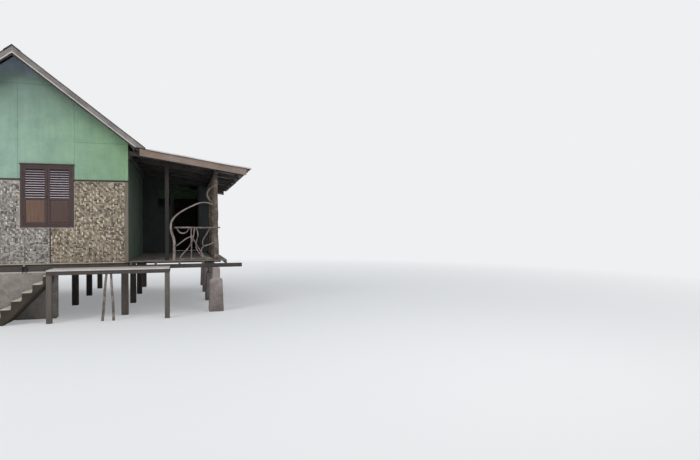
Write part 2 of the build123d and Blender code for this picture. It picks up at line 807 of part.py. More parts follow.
# Roof sheets, ridge cap and edge boards
def wave_outline(length):
    """Outline across a folded sheet, centred, with its valleys on the purlins."""
    count = 2 * round(length / wave_pitch)
    low = [(-length / 2 + i * length / count, wave_depth * (i % 2)) for i in range(count + 1)]
    return low + [(y, z + sheet_gauge) for y, z in reversed(low)]


def roof_sheet(start, pitch, side, run):
    """Corrugated sheet from its upper edge at start, down the slope on one side."""
    down = (side * cos(radians(pitch)), 0, -sin(radians(pitch)))
    with BuildSketch(Plane(origin=start, x_dir=(0, side, 0), z_dir=down)) as outline:
        with BuildLine():
            Polyline(*wave_outline(sheet_length), close=True)
        make_face()
    extrude(outline.sketch, amount=run, dir=down)


sheet_top = ridge_gap * cos(radians(main_pitch))
for side, word in ((-1, "left"), (1, "right")):
    with BuildPart() as main_sheet:
        start = (side * sheet_top, centre_y, main_line(sheet_top))
        roof_sheet(start, main_pitch, side, (main_eave_x - sheet_top) / cos(radians(main_pitch)))
    save(main_sheet.part, f"main_roof_{word}")

with BuildPart() as lean_to_roof:
    start = (lean_sheet_start_x, centre_y, lean_line(lean_sheet_start_x))
    run = (lean_eave_x - lean_sheet_start_x) / cos(radians(lean_pitch))
    roof_sheet(start, lean_pitch, 1, run)
save(lean_to_roof.part, "lean_to_roof")

with BuildPart() as ridge_cap:
    lift = wave_depth + sheet_gauge
    reach = cap_width * cos(radians(main_pitch))
    top = -lift - cap_gauge
    outline = [
        (0, main_line(0, -lift)),
        (reach, main_line(reach, -lift)),
        (reach, main_line(reach, top)),
        (0, main_line(0, top)),
        (-reach, main_line(reach, top)),
        (-reach, main_line(reach, -lift)),
    ]
    cross_piece(outline, centre_y - sheet_length / 2, centre_y + sheet_length / 2)
save(ridge_cap.part, "ridge_cap")

main_barge_outline = [
    (0, main_line(0)),
    (main_eave_x, main_line(main_eave_x)),
    (main_eave_x, main_line(main_eave_x, barge_depth)),
    (0, main_line(0, barge_depth)),
    (-main_eave_x, main_line(main_eave_x, barge_depth)),
    (-main_eave_x, main_line(main_eave_x)),
]
sheet_lift = wave_depth + sheet_gauge
trim_x = lean_sheet_start_x - barge_depth
under_lean_sheet = [
    (trim_x, lean_line(trim_x, -sheet_lift)),
    (lean_eave_x, lean_line(lean_eave_x, -sheet_lift)),
    (lean_eave_x, floor_level),
    (trim_x, floor_level),
]
lean_barge_start_x = wall_corner + lean_barge_start
lean_barge_end_x = wall_corner + lean_barge_reach
lean_barge_outline = [
    (lean_barge_start_x, lean_line(lean_barge_start_x)),
    (lean_barge_end_x, lean_line(lean_barge_end_x)),
    (lean_barge_end_x, lean_line(lean_barge_end_x, lean_barge_depth)),
    (lean_barge_start_x, lean_line(lean_barge_start_x, lean_barge_depth)),
]
verges = [
    (verge_front - barge_thickness, verge_front),
    (verge_back, verge_back + barge_thickness),
]
with BuildPart() as barge_boards:
    for y0, y1 in verges:
        cross_piece(main_barge_outline, y0, y1)
        cross_piece(under_lean_sheet, y0, y1, mode=Mode.SUBTRACT)
save(barge_boards.part, "barge_boards")
with BuildPart() as lean_to_barges:
    for y0, y1 in verges:
        cross_piece(lean_barge_outline, y0, y1)
save(lean_to_barges.part, "lean_to_barges")
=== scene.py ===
"""Dressed model of a raised timber house: woven walls, corrugated roof, branch verandah."""

import logging
import random
from contextlib import contextmanager
from dataclasses import dataclass
from enum import Enum
from math import cos, radians, sin, tan
from typing import Callable, Iterator, Sequence

import bmesh
import bpy
from mathutils import Matrix, Vector


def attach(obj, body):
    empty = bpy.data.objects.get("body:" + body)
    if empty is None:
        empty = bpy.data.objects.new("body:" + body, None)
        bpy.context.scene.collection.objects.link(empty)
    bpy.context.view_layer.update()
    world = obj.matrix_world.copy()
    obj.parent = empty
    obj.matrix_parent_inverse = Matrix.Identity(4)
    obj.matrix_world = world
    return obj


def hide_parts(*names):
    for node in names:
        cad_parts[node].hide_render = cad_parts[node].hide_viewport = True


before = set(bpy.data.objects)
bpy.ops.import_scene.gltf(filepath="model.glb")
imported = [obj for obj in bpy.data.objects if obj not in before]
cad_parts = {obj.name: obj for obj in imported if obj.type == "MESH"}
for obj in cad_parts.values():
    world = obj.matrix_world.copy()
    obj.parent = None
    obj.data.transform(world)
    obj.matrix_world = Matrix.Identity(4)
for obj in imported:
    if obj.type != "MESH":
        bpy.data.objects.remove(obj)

logging.basicConfig(level=logging.INFO, format="%(message)s")
log = logging.getLogger("stilt_house")

Piece = bpy.types.Object
Tree = bpy.types.NodeTree
Point = tuple[float, float, float]
Colour = tuple[float, float, float]
Span = tuple[float | None, float | None]

# Levels and walls in metres, as the part's solids have them
FLOOR = 1.30
DECK = 1.35
MAT_FOOT = 1.312
SILL = 2.20
BELT = 3.35
WINDOW_HEAD = 3.72
WINDOW_WIDTH = 1.16
GABLE_WINDOWS = (-1.23, 0.63)
LEFT_WINDOWS = (1.20, 6.00)
HALF_WIDTH = 2.44
DEPTH = 7.20
FRONT_FACE = -0.057
BACK_FACE = 7.257
SIDE_FRONT = -0.045
SIDE_BACK = 7.245
SIDE_POST_X = 4.58
ROOM_FACE = 4.637
END_WALL = 5.2
ROOM_FRONT = 5.155
CORNER_BOARD = 2.355
FRONT_SEAM = (0.672, 0.703)
BACK_SEAM = (-0.694, -0.684)
SIDE_SEAM = (3.594, 3.606)

# Painted sheets, roof sheets and slats
SHEET = 1.22
SHEET_HEIGHT = 1.36
LOWER_SEAM = 4.28
UPPER_SEAM = 5.64
MAIN_PITCH = 38.2
RIDGE_RISE = 5.092
LEAN_PITCH = 9.0
LEAN_RISE = 2.792
LEAN_RISE_X = 2.97
LEAN_START = 2.54
ROOF_FRONT = -0.505
ROOF_BACK = 7.705
ROOF_COVER = 0.912
SLAT_START = 2.915
SLAT_PITCH = 0.05758


class Axis(Enum):
    """Direction in which a board's grain runs."""

    X = 0
    Y = 1
    Z = 2


def main_line(x: float) -> float:
    """Height of the main roof's purlin tops at x."""
    return FLOOR + RIDGE_RISE - tan(radians(MAIN_PITCH)) * abs(x)


def lean_line(x: float) -> float:
    """Height of the lean-to's purlin tops at x."""
    return FLOOR + LEAN_RISE - tan(radians(LEAN_PITCH)) * (x - LEAN_RISE_X)


# Modelling helpers


def deselect() -> None:
    """Leave edit mode and deselect every object."""
    if bpy.context.mode != "OBJECT":
        bpy.ops.object.mode_set(mode="OBJECT")
    bpy.ops.object.select_all(action="DESELECT")


def pick(*pieces: Piece) -> None:
    """Select these pieces alone, with the first one active."""
    deselect()
    for piece in pieces:
        piece.select_set(True)
    bpy.context.view_layer.objects.active = pieces[0]


@contextmanager
def editing(piece: Piece, faces: Callable[[Vector, Vector], bool] | None = None,
            vertices: Callable[[Vector], bool] | None = None) -> Iterator[int]:
    """Hold a piece in edit mode with all of it selected, or only what passes a test.

    Args:
        piece: Object to edit.
        faces: Test of a face's centre and normal.
        vertices: Test of a vertex's place.

    Yields:
        How many faces or vertices passed the test.
    """
    pick(piece)
    bpy.ops.object.mode_set(mode="EDIT")
    bpy.ops.mesh.select_all(action="SELECT")
    found = 0
    if faces or vertices:
        bpy.ops.mesh.select_mode(type="FACE" if faces else "VERT")
        bpy.ops.mesh.select_all(action="DESELECT")
        shape = bmesh.from_edit_mesh(piece.data)
        for item in shape.faces if faces else shape.verts:
            if faces(item.calc_center_median(), item.normal) if faces else vertices(item.co):
                item.select_set(True)
                found += 1
        bmesh.update_edit_mesh(piece.data)
    yield found
    bpy.ops.object.mode_set(mode="OBJECT")


def named(name: str) -> Piece:
    """Give the active object and its mesh a name, and return the object."""
    piece = bpy.context.active_object
    piece.name = name
    piece.data.name = name
    return piece


def box(name: str, low: Point, high: Point) -> Piece:
    """Add a cube between two corners, with its size in its mesh.

    Args:
        name: Name of the piece.
        low: Lowest corner in metres.
        high: Highest corner in metres.

    Returns:
        The new object at the world origin.
    """
    deselect()
    size = [h - l for l, h in zip(low, high)]
    middle = [(h + l) / 2 for l, h in zip(low, high)]
    bpy.ops.mesh.primitive_cube_add(size=1, location=middle, scale=size)
    bpy.ops.object.transform_apply()
    return named(name)


def grid(name: str, size: tuple[float, float], cells: tuple[int, int]) -> Piece:
    """Add a flat grid centred on the world origin.

    Args:
        name: Name of the piece.
        size: Its size along X and Y in metres.
        cells: Number of cells along X and Y.

    Returns:
        The new object.
    """
    deselect()
    bpy.ops.mesh.primitive_grid_add(x_subdivisions=cells[0], y_subdivisions=cells[1], size=1)
    piece = named(name)
    with editing(piece):
        bpy.ops.transform.resize(value=(*size, 1))
    return piece


def nail_head(radius: float, depth: float, inset: float, rise: float) -> Piece:
    """Add a domed nail head on its washer, facing up at the world origin.

    Args:
        radius: Radius of the washer in metres.
        depth: Thickness of the washer.
        inset: Width of the washer's flat rim.
        rise: Height of the dome.

    Returns:
        The new object.
    """
    deselect()
    bpy.ops.mesh.primitive_cylinder_add(vertices=8, radius=radius, depth=depth)
    nail = named("nail_head")
    with editing(nail, faces=lambda centre, normal: normal.z > 0.9):
        bpy.ops.mesh.inset(thickness=inset)
        bpy.ops.transform.translate(value=(0, 0, rise))
    return nail


def settle(piece: Piece, place: Point = (0, 0, 0), turn: Point = (0, 0, 0)) -> None:
    """Turn a piece about the world origin, move it, and put both into its mesh.

    Args:
        piece: Object to place.
        place: Move in metres.
        turn: Angles in degrees about X, Y and Z.
    """
    pick(piece)
    piece.location = place
    piece.rotation_euler = [radians(angle) for angle in turn]
    bpy.ops.object.transform_apply()


def modifier(piece: Piece, kind: str, **settings: object) -> None:
    """Add a modifier, set it up and apply it.

    Args:
        piece: Object that gets the modifier.
        kind: Blender's modifier type.
        settings: Values of the modifier.
    """
    pick(piece)
    bpy.ops.object.modifier_add(type=kind)
    added = piece.modifiers[-1]
    for key, value in settings.items():
        setattr(added, key, value)
    bpy.ops.object.modifier_apply(modifier=added.name)


def chamfer(piece: Piece, width: float, segments: int = 1) -> None:
    """Ease the sharp edges of a piece.

    Args:
        piece: Object to ease.
        width: Width of the eased edge in metres.
        segments: Number of faces across it.
    """
    modifier(piece, "BEVEL", width=width, segments=segments, limit_method="ANGLE",
             angle_limit=radians(30))


def roughen(piece: Piece, size: float, strength: float, direction: str = "NORMAL") -> None:
    """Push a surface in and out with a soft cloud pattern.

    Args:
        piece: Object to roughen.
        size: Size of the unevenness in metres.
        strength: Full depth in metres.
        direction: Direction of the push.
    """
    key = f"clouds_{round(size * 1000)}"
    clouds = bpy.data.textures.get(key) or bpy.data.textures.new(key, "CLOUDS")
    clouds.noise_scale = size
    clouds.noise_depth = 2
    modifier(piece, "DISPLACE", texture=clouds, texture_coords="LOCAL", strength=strength,
             mid_level=0.5, direction=direction)


def smooth(piece: Piece, angle: float) -> None:
    """Shade a piece smooth, apart from edges sharper than an angle in degrees."""
    pick(piece)
    bpy.ops.object.shade_smooth_by_angle(angle=radians(angle))


def mirror(piece: Piece) -> None:
    """Mirror a piece across the plane X 0, with its faces still outward."""
    with editing(piece):
        bpy.ops.transform.mirror(constraint_axis=(True, False, False), center_override=(0, 0, 0))
        bpy.ops.mesh.flip_normals()


def join(name: str, pieces: Sequence[Piece]) -> Piece:
    """Join pieces into one object.

    Args:
        name: Name of the joined piece.
        pieces: Objects to join.

    Returns:
        The joined object.
    """
    pick(*pieces)
    if len(pieces) > 1:
        bpy.ops.object.join()
    return named(name)


def twin(piece: Piece, place: Point = (0, 0, 0), turn: Point = (0, 0, 0)) -> Piece:
    """Copy a piece with a mesh of its own, and place the copy.

    Args:
        piece: Object to copy.
        place: Move in metres.
        turn: Angles in degrees.

    Returns:
        The copy.
    """
    pick(piece)
    bpy.ops.object.duplicate(linked=False)
    copy = bpy.context.active_object
    settle(copy, place, turn)
    return copy


def scatter(name: str, original: Piece, places: Sequence[Point]) -> Piece:
    """Join copies of a piece set at some places, and drop the original.

    Args:
        name: Name of the joined piece.
        original: Object to copy.
        places: Where the copies go.

    Returns:
        The joined copies.
    """
    copies = [twin(original, place) for place in places]
    bpy.data.objects.remove(original)
    return join(name, copies)


def copy_of(node: str, name: str) -> Piece:
    """Copy a CAD node's mesh, merge its loose triangles and clear its flat faces.

    Args:
        node: Name of the CAD node.
        name: Name of the new piece.

    Returns:
        The copy, ready to be shaped.
    """
    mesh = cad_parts[node].data.copy()
    mesh.materials.clear()
    piece = bpy.data.objects.new(name, mesh)
    bpy.context.scene.collection.objects.link(piece)
    with editing(piece):
        bpy.ops.mesh.remove_doubles(threshold=0.00002)
        bpy.ops.mesh.dissolve_limited(angle_limit=radians(0.5))
    return piece


def remove_faces(piece: Piece, wanted: Callable[[Vector, Vector], bool]) -> None:
    """Delete the faces whose centre and normal pass a test."""
    with editing(piece, faces=wanted) as found:
        if found:
            bpy.ops.mesh.delete(type="FACE")


def trim(piece: Piece, axis: int, level: float, side: int, close: bool = True) -> None:
    """Cut a piece square to an axis and drop what lies beyond the cut.

    Args:
        piece: Object to cut.
        axis: Number of the axis.
        level: Place of the cut along it.
        side: 1 to drop what lies above the level, -1 to drop what lies below.
        close: Whether the cut is filled.
    """
    at, normal = Vector(), Vector()
    at[axis], normal[axis] = level, side
    with editing(piece):
        bpy.ops.mesh.bisect(plane_co=at, plane_no=normal, use_fill=close, clear_outer=True)


def branch(route: Sequence[Point], radii: Sequence[float], sides: int) -> Piece:
    """A round stick along a smooth route, thinning as its radii say.

    Args:
        route: Points that lead the stick.
        radii: Radius at the start and at the end, or one for each point.
        sides: Bevel resolution of the round section.

    Returns:
        The stick as a closed mesh.
    """
    deselect()
    bpy.ops.curve.primitive_nurbs_path_add()
    curve = named("stick").data
    curve.splines.clear()
    spline = curve.splines.new("NURBS")
    last = len(route) - 1
    spline.points.add(last)
    if len(radii) < len(route):
        radii = [radii[0] + i / last * (radii[-1] - radii[0]) for i in range(len(route))]
    for point, place, radius in zip(spline.points, route, radii):
        point.co = (*place, 1)
        point.radius = radius
    spline.use_endpoint_u = True
    spline.order_u = 3
    spline.resolution_u = 4
    curve.bevel_depth = 1.0
    curve.bevel_resolution = sides
    curve.use_fill_caps = True
    bpy.ops.object.convert(target="MESH")
    piece = bpy.context.active_object
    bpy.ops.object.transform_apply()
    with editing(piece):
        bpy.ops.mesh.remove_doubles(threshold=0.00005)
        bpy.ops.mesh.normals_make_consistent(inside=False)
    return piece


# Materials


def rgba(colour: Colour) -> tuple[float, float, float, float]:
    """A linear colour with full alpha from an sRGB one of 0 to 255."""
    shares = [c / 255 for c in colour]
    return (*[s / 12.92 if s <= 0.04045 else ((s + 0.055) / 1.055) ** 2.4 for s in shares], 1.0)


class Wire:
    """Output of a node. Arithmetic with it adds Math nodes to its board."""

    def __init__(self, board: "Board", socket: bpy.types.NodeSocket) -> None:
        """Take the board that further nodes go on, and the socket."""
        self.board = board
        self.socket = socket

    def __add__(self, other: object) -> "Wire":
        """Sum."""
        return self.board.math("ADD", self, other)

    def __sub__(self, other: object) -> "Wire":
        """Difference."""
        return self.board.math("SUBTRACT", self, other)

    def __rsub__(self, other: object) -> "Wire":
        """Difference from a plain number."""
        return self.board.math("SUBTRACT", other, self)

    def __mul__(self, other: object) -> "Wire":
        """Product."""
        return self.board.math("MULTIPLY", self, other)

    def __truediv__(self, other: object) -> "Wire":
        """Quotient."""
        return self.board.math("DIVIDE", self, other)

    def __floordiv__(self, other: object) -> "Wire":
        """Number of the cell of this size that the value lies in."""
        return self.board.math("FLOOR", self / other)

    def __abs__(self) -> "Wire":
        """Value without its sign."""
        return self.board.math("ABSOLUTE", self)

    def fit(self, low: float, high: float, to_low: float = 0.0, to_high: float = 1.0) -> "Wire":
        """Map the value from one range to another, clamped."""
        return self.board.wire("MapRange", {0: self, 1: low, 2: high, 3: to_low, 4: to_high})

    def noise(self, scale: float, detail: float = 3.0, rough: float = 0.55) -> "Wire":
        """Noise at these coordinates."""
        return self.board.wire("TexNoise", {"Vector": self, "Scale": scale, "Detail": detail,
                                            "Roughness": rough})

    def scaled(self, x: float, y: float, z: float) -> "Wire":
        """Coordinates scaled along their three axes."""
        return self.board.wire("Mapping", {"Vector": self, "Scale": (x, y, z)})

    def split(self) -> list["Wire"]:
        """The three coordinates."""
        made = self.board.node("SeparateXYZ", {0: self})
        return [Wire(self.board, output) for output in made.outputs]

    def luck(self, dimensions: str) -> "Wire":
        """A number of 0 to 1 that differs from cell to cell, in 1D, 2D or 3D."""
        key = "W" if dimensions == "1D" else "Vector"
        return self.board.wire("TexWhiteNoise", {key: self}, noise_dimensions=dimensions)

    def stained(self, mask: object, tone: object) -> "Wire":
        """This colour with another tone laid over it where the mask says so."""
        return self.board.mix(mask, self, tone)

    def tinted(self, shade: "Wire", low: Colour, high: Colour) -> "Wire":
        """This colour times a tint that runs from low to high with a shade of 0 to 1."""
        tint = {i: shade.fit(0, 1, low[i], high[i]) for i in range(3)}
        return self.board.mix(1.0, self, self.board.wire("CombineColor", tint), "MULTIPLY")


class Board:
    """A node tree that nodes are added to in one line each."""

    def __init__(self, tree: Tree) -> None:
        """Take the tree that the nodes go into."""
        self.tree = tree

    def node(self, kind: str, sockets: dict | None = None, **settings: object) -> bpy.types.Node:
        """Add a node.

        Args:
            kind: Node type, without ShaderNode unless it starts with Node.
            sockets: Inputs by name or number, each a value or a wire.
            settings: Properties of the node.

        Returns:
            The new node.
        """
        made = self.tree.nodes.new(kind if kind.startswith("Node") else "ShaderNode" + kind)
        for key, value in settings.items():
            setattr(made, key, value)
        for key, value in (sockets or {}).items():
            if isinstance(value, Wire):
                self.tree.links.new(value.socket, made.inputs[key])
            else:
                made.inputs[key].default_value = value
        return made

    def wire(self, kind: str, sockets: dict | None = None, output: int | str = 0,
             **settings: object) -> Wire:
        """Add a node and return one of its outputs."""
        return Wire(self, self.node(kind, sockets, **settings).outputs[output])

    def math(self, operation: str, *values: object) -> Wire:
        """Add a Math node."""
        return self.wire("Math", dict(enumerate(values)), operation=operation)

    def vector(self, *values: object) -> Wire:
        """Coordinates from up to three values."""
        return self.wire("CombineXYZ", dict(enumerate(values)))

    def mix(self, factor: object, first: object, second: object, blend: str = "MIX") -> Wire:
        """Mix two colours, each a wire, a linear RGBA or an sRGB of 0 to 255."""
        first, second = (rgba(c) if isinstance(c, tuple) and len(c) == 3 else c
                         for c in (first, second))
        return self.wire("Mix", {0: factor, 6: first, 7: second}, 2,
                         data_type="RGBA", blend_type=blend)

    def effect(self, tree: Tree, **inputs: object) -> dict[str, Wire]:
        """Place a shared effect with its own values, and return its outputs by name."""
        made = self.node("Group", inputs, node_tree=tree)
        return {output.name: Wire(self, output) for output in made.outputs}

    def facing_up(self) -> Wire:
        """Mask of the faces that look up, softened."""
        return self.wire("NewGeometry", output="Normal").split()[2].fit(0.25, 0.75)


def group(name: str, inputs: dict[str, object],
          effect: Callable[[Board, dict[str, Wire]], dict[str, Wire]]) -> Tree:
    """A shader node group with named sockets, made once.

    Args:
        name: Name of the group.
        inputs: Name and default of each input.
        effect: Turns the inputs into the outputs.

    Returns:
        The group.
    """
    tree = bpy.data.node_groups.get(name)
    if tree is None:
        tree = bpy.data.node_groups.new(name, "ShaderNodeTree")
        for key, value in inputs.items():
            kind = "NodeSocketFloat" if isinstance(value, float) else "NodeSocketVector"
            socket = tree.interface.new_socket(key, in_out="INPUT", socket_type=kind)
            socket.default_value = value
        board = Board(tree)
        given = board.node("NodeGroupInput")
        made = effect(board, {output.name: Wire(board, output) for output in given.outputs})
        for key in made:
            tree.interface.new_socket(key, in_out="OUTPUT", socket_type="NodeSocketFloat")
        board.node("NodeGroupOutput", made)
    return tree


def grain_group() -> Tree:
    """Wood grain on coordinates whose Z runs along the board."""
    def effect(board: Board, given: dict[str, Wire]) -> dict[str, Wire]:
        """Bent fibres, broad streaks and thin cracks."""
        vector = given["Vector"]
        bend = vector.scaled(2, 2, 0.6).noise(1.5)
        shifted = board.wire("VectorMath", {0: vector, 1: board.vector(bend * 0.08, bend * 0.06)},
                             operation="ADD")
        fibre = shifted.scaled(1, 1, 0.035).noise(260, 3.0, 0.65)
        streak = shifted.scaled(1, 1, 0.06).noise(38, 3.0, 0.6) * given["Ring"]
        tone = fibre * 0.45 + streak * 0.55
        crack = shifted.scaled(1, 1, 0.02).noise(90, 1.0, 0.4).fit(0.60, 0.72)
        return {"Tone": tone, "Height": tone - crack * 0.5}

    return group("effect_grain", {"Vector": (0.0, 0.0, 0.0), "Ring": 1.0}, effect)


def dirt_group() -> Tree:
    """Blotches, fine specks and damp that rises from Low to High."""
    def effect(board: Board, given: dict[str, Wire]) -> dict[str, Wire]:
        """Masks of the three kinds of dirt."""
        vector = board.wire("VectorMath", {0: given["Vector"], "Scale": given["Size"]},
                            operation="SCALE")
        uneven = given["Vector"].split()[2] + vector.noise(6.0) * 0.35
        rise = (given["High"] - uneven) / (given["High"] - given["Low"])
        return {"Blotch": vector.noise(2.2, 5.0, 0.62).fit(0.36, 0.68),
                "Speck": vector.noise(60, 2.0, 0.6).fit(0.50, 0.74),
                "Rise": board.wire("Clamp", {0: rise})}

    return group("effect_dirt",
                 {"Vector": (0.0, 0.0, 0.0), "Size": 1.0, "Low": 0.0, "High": 1.0}, effect)


def cleared(owner: bpy.types.Material | bpy.types.World) -> Board:
    """The empty board of a new material or world."""
    owner.use_nodes = True
    owner.node_tree.nodes.clear()
    return Board(owner.node_tree)


@dataclass(frozen=True)
class Finish:
    """A procedural finish; each kind fills in its own wiring."""

    name: str
    colour: Colour
    second: Colour
    roughness: float = 0.8

    def material(self) -> bpy.types.Material:
        """The finish as a material, made once."""
        key = f"finish_{self.name}"
        made = bpy.data.materials.get(key)
        if made is None:
            made = bpy.data.materials.new(key)
            board = cleared(made)
            inputs, height, depth = self.wire(board, board.wire("TexCoord", output="Object"))
            bump = board.wire("Bump", {"Height": height, "Distance": depth, "Strength": 1.0})
            shader = board.wire("BsdfPrincipled", {**inputs, "Normal": bump})
            board.node("OutputMaterial", {"Surface": shader})
        return made

    def wire(self, board: Board, place: Wire) -> tuple[dict[str, Wire], Wire, float]:
        """Lay the finish's own nodes.

        Args:
            board: Board of the material.
            place: Object coordinates.

        Returns:
            Inputs of the shader by name, height of the bump and its depth in metres.
        """
        raise NotImplementedError


@dataclass(frozen=True)
class Wood(Finish):
    """Timber with grain along one axis, greyed and stained towards the ground."""

    axis: Axis = Axis.Z
    grey: Colour = (120, 112, 104)
    greying: float = 0.5
    board_width: float = 0.0
    damp: float = 0.35
    bleach: float = 0.0
    pale: Colour = (196, 188, 184)
    nose: bool = False
    tilt: float | None = None
    lower_edge: bool = False

    def wire(self, board: Board, place: Wire) -> tuple[dict[str, Wire], Wire, float]:
        """Wood grain, a tone for each board, greying, a damp foot, a painted highlight on slat noses
        and a pale band along a lower edge.
        """
        x, y, z = place.split()
        fibre, turn = place, {Axis.X: (0, radians(90), 0), Axis.Y: (radians(90), 0, 0),
                              Axis.Z: (0, 0, 0)}[self.axis]
        if self.tilt is not None:
            fibre, turn = board.vector(abs(x), y, z), (0, radians(90 - self.tilt), 0)
        along = board.wire("Mapping", {"Vector": fibre, "Rotation": turn})
        grain = board.effect(grain_group(), Vector=along)
        dirt = board.effect(dirt_group(), Vector=place, Low=0.0, High=1.3)
        tone = grain["Tone"].fit(0.30, 0.72)
        colour = board.mix(tone, self.second, self.colour)
        colour = colour.stained(dirt["Blotch"] * self.greying, self.grey)
        if self.board_width:
            across = y if self.axis == Axis.X else x
            shade = (across // self.board_width).luck("1D")
            colour = colour.tinted(shade, (0.72, 0.72, 0.72), (1.12, 1.11, 1.09))
        colour = colour.stained(dirt["Speck"] * 0.35, (46, 40, 34))
        colour = colour.stained(dirt["Rise"] * self.damp, (52, 46, 38))
        # Painted light: a pale band along each slat's lower front edge stands for the light on its
        # nose; under the head it fades, as painted shade.
        if self.nose:
            turns = board.math("FRACT", (z - SLAT_START) / SLAT_PITCH)
            front = (turns + place.noise(14.0) * 0.16).fit(0.36, 0.26)
            front = front * z.fit(3.66, 3.30, 0.45, 1.0)
            colour = colour.stained(front * self.bleach, self.pale)
        # A pale, ragged band along the board's lower edge.
        if self.lower_edge:
            drop = main_line(0) - abs(x) * tan(radians(self.tilt)) - z
            pale_band = drop.fit(0.122, 0.138) * place.noise(6.0).fit(0.30, 0.45, 0.5, 0.85)
            colour = colour.stained(pale_band, self.pale)
        rough = tone.fit(0, 1, min(self.roughness + 0.08, 1.0), self.roughness - 0.08)
        return {"Base Color": colour, "Roughness": rough}, grain["Height"], 0.0025


@dataclass(frozen=True)
class Paint(Finish):
    """Faded paint on thin sheets: chalky patches and runs, with painted shade under the eaves and a
    painted pale bluish highlight near the apex.
    """

    stain: Colour = (92, 104, 100)
    top: float = 6.4
    shade: float = 0.35

    def wire(self, board: Board, place: Wire) -> tuple[dict[str, Wire], Wire, float]:
        """Chalky paint with runs that hang down from seams and eaves."""
        x, y, z = place.split()
        dirt = board.effect(dirt_group(), Vector=place)
        runs = place.scaled(9, 9, 0.8).noise(1.4, 4.0, 0.6).fit(0.42, 0.72)
        brush = place.scaled(1, 1, 4).noise(45, 3.0, 0.6)
        sheet = board.vector(x // SHEET, y // SHEET, (z - LOWER_SEAM) // SHEET_HEIGHT).luck("3D")
        # The paint's tone drifts from bluish grey at the left to yellower green towards the right.
        tint_by_x = (x + place.noise(1.3) * 0.8).fit(0.4, 2.9)
        level = z + (place.noise(3.0) - 0.5) * 0.4
        colour = board.mix(dirt["Blotch"], self.second, self.colour)
        colour = colour.tinted(sheet, (0.96, 0.97, 0.95), (1.03, 1.02, 1.04))
        colour = colour.tinted(tint_by_x, (1.05, 1.04, 1.06), (0.86, 0.95, 0.68))
        # Painted shade: from top - 1.9 m upward the paint darkens to green-grey where the eaves
        # shade the gable; painted light: from top - 0.6 m it turns pale bluish to lift the shadow
        # near the apex.
        for mask, tone in (
                (runs * self.shade, self.stain),
                (level.fit(self.top - 1.9, self.top - 0.4, 0.0, 0.85), (86, 102, 94)),
                (level.fit(self.top - 0.6, self.top - 0.2, 0.0, 0.75), (160, 168, 190)),
                (dirt["Speck"] * 0.18, (70, 80, 70))):
            colour = colour.stained(mask, tone)
        rough = brush.fit(0.3, 0.7, self.roughness - 0.1, self.roughness + 0.08)
        height = brush * 0.5 + place.noise(240, 2.0) * 0.5
        return {"Base Color": colour, "Roughness": rough}, height, 0.0012


@dataclass(frozen=True)
class Bamboo(Finish):
    """Split bamboo strips, each with its own tone, nodes and dark mould flecks."""

    axis: Axis = Axis.Z
    side: Axis = Axis.X
    width: float = 0.032

    def wire(self, board: Board, place: Wire) -> tuple[dict[str, Wire], Wire, float]:
        """A tone for each strip and each exposed length, fibres and flecks."""
        parts = place.split()
        level, z = parts[self.side.value], parts[2]
        across, along = (level, z) if self.axis == Axis.Z else (z, level)
        strip = across // self.width
        shade = strip.luck("1D")
        length = board.vector(along + shade * 40.0, strip)
        step = along // self.width + board.math("FLOOR", shade * 97.0)
        luck = board.vector(strip, step // 4.0).luck("2D")
        sound = luck.fit(0.0, 1.0, 0.28, 0.56) + luck.fit(0.72, 0.84, 0.0, 0.44)
        exposed = sound - luck.fit(0.26, 0.14, 0.0, 0.30)
        lengths = length.scaled(1, 3.1, 1).noise(5.5, 3.0, 0.7).fit(0.38, 0.64)
        fleck = length.scaled(1, 7.7, 1).noise(26.0, 2.0, 0.6).fit(0.52, 0.66)
        fibre = board.vector(along, across).scaled(0.06, 1, 1).noise(420, 2.0, 0.6)
        dirt = board.effect(dirt_group(), Vector=place, Low=1.30, High=1.75)
        colour = board.mix(exposed * 0.85 + lengths * 0.15, self.second, self.colour)
        colour = colour.tinted(shade, (0.78, 0.78, 0.78), (1.15, 1.14, 1.10))
        colour = colour.stained(fleck * 0.5, (72, 60, 48))
        colour = colour.stained(dirt["Blotch"] * 0.22, (84, 78, 70))
        colour = colour.stained(dirt["Rise"] * 0.35, (88, 80, 72))
        rough = fibre.fit(0.3, 0.7, self.roughness - 0.12, self.roughness + 0.1)
        return {"Base Color": colour, "Roughness": rough}, fibre, 0.0012


@dataclass(frozen=True)
class Metal(Finish):
    """Zinc sheet gone dull, with rust at its lower edges and laps."""

    rust: float = 0.5
    main_edge: tuple[float, float] = (2.20, 2.87)
    main_end: float = 2.90
    lean_edge: tuple[float, float] = (4.75, 5.45)

    def wire(self, board: Board, place: Wire) -> tuple[dict[str, Wire], Wire, float]:
        """Dull zinc with spangle, streaks down the slope, and rust."""
        x, y, z = place.split()
        out = abs(x)
        sheets = (y - ROOF_FRONT) / ROOF_COVER
        streak = board.vector(x * 0.18, y, z * 0.18).noise(9.0, 4.0, 0.65).fit(0.40, 0.70)
        spangle = board.wire("TexVoronoi", {"Vector": place, "Scale": 70.0}, "Color")
        colour = board.mix(streak, self.colour, self.second)
        colour = board.mix(0.10, colour, spangle, "OVERLAY")
        colour = colour.tinted(board.math("FLOOR", sheets).luck("1D"), (0.82, 0.82, 0.82),
                               (1.10, 1.10, 1.10))
        ragged = board.vector(x * 0.30, y, z * 0.30).noise(7.0, 5.0, 0.7)
        lap = abs(board.math("FRACT", sheets) - 0.5).fit(0.40, 0.50)
        main_eave = out.fit(*self.main_edge) * board.math("LESS_THAN", out, self.main_end)
        eave = board.math("MAXIMUM", main_eave, x.fit(*self.lean_edge))
        rusty = (ragged + (lap * 0.07 + eave * 0.12)).fit(0.54, 0.70) * self.rust
        rust = board.mix(place.noise(30, 4.0).fit(0.35, 0.65), (72, 50, 40), (118, 80, 58))
        return ({"Base Color": colour.stained(rusty, rust),
                 "Roughness": rusty * 0.35 + self.roughness,
                 "Metallic": rusty.fit(0, 1, 0.75, 0.0)}, place.noise(180, 2.0) + rusty, 0.0008)


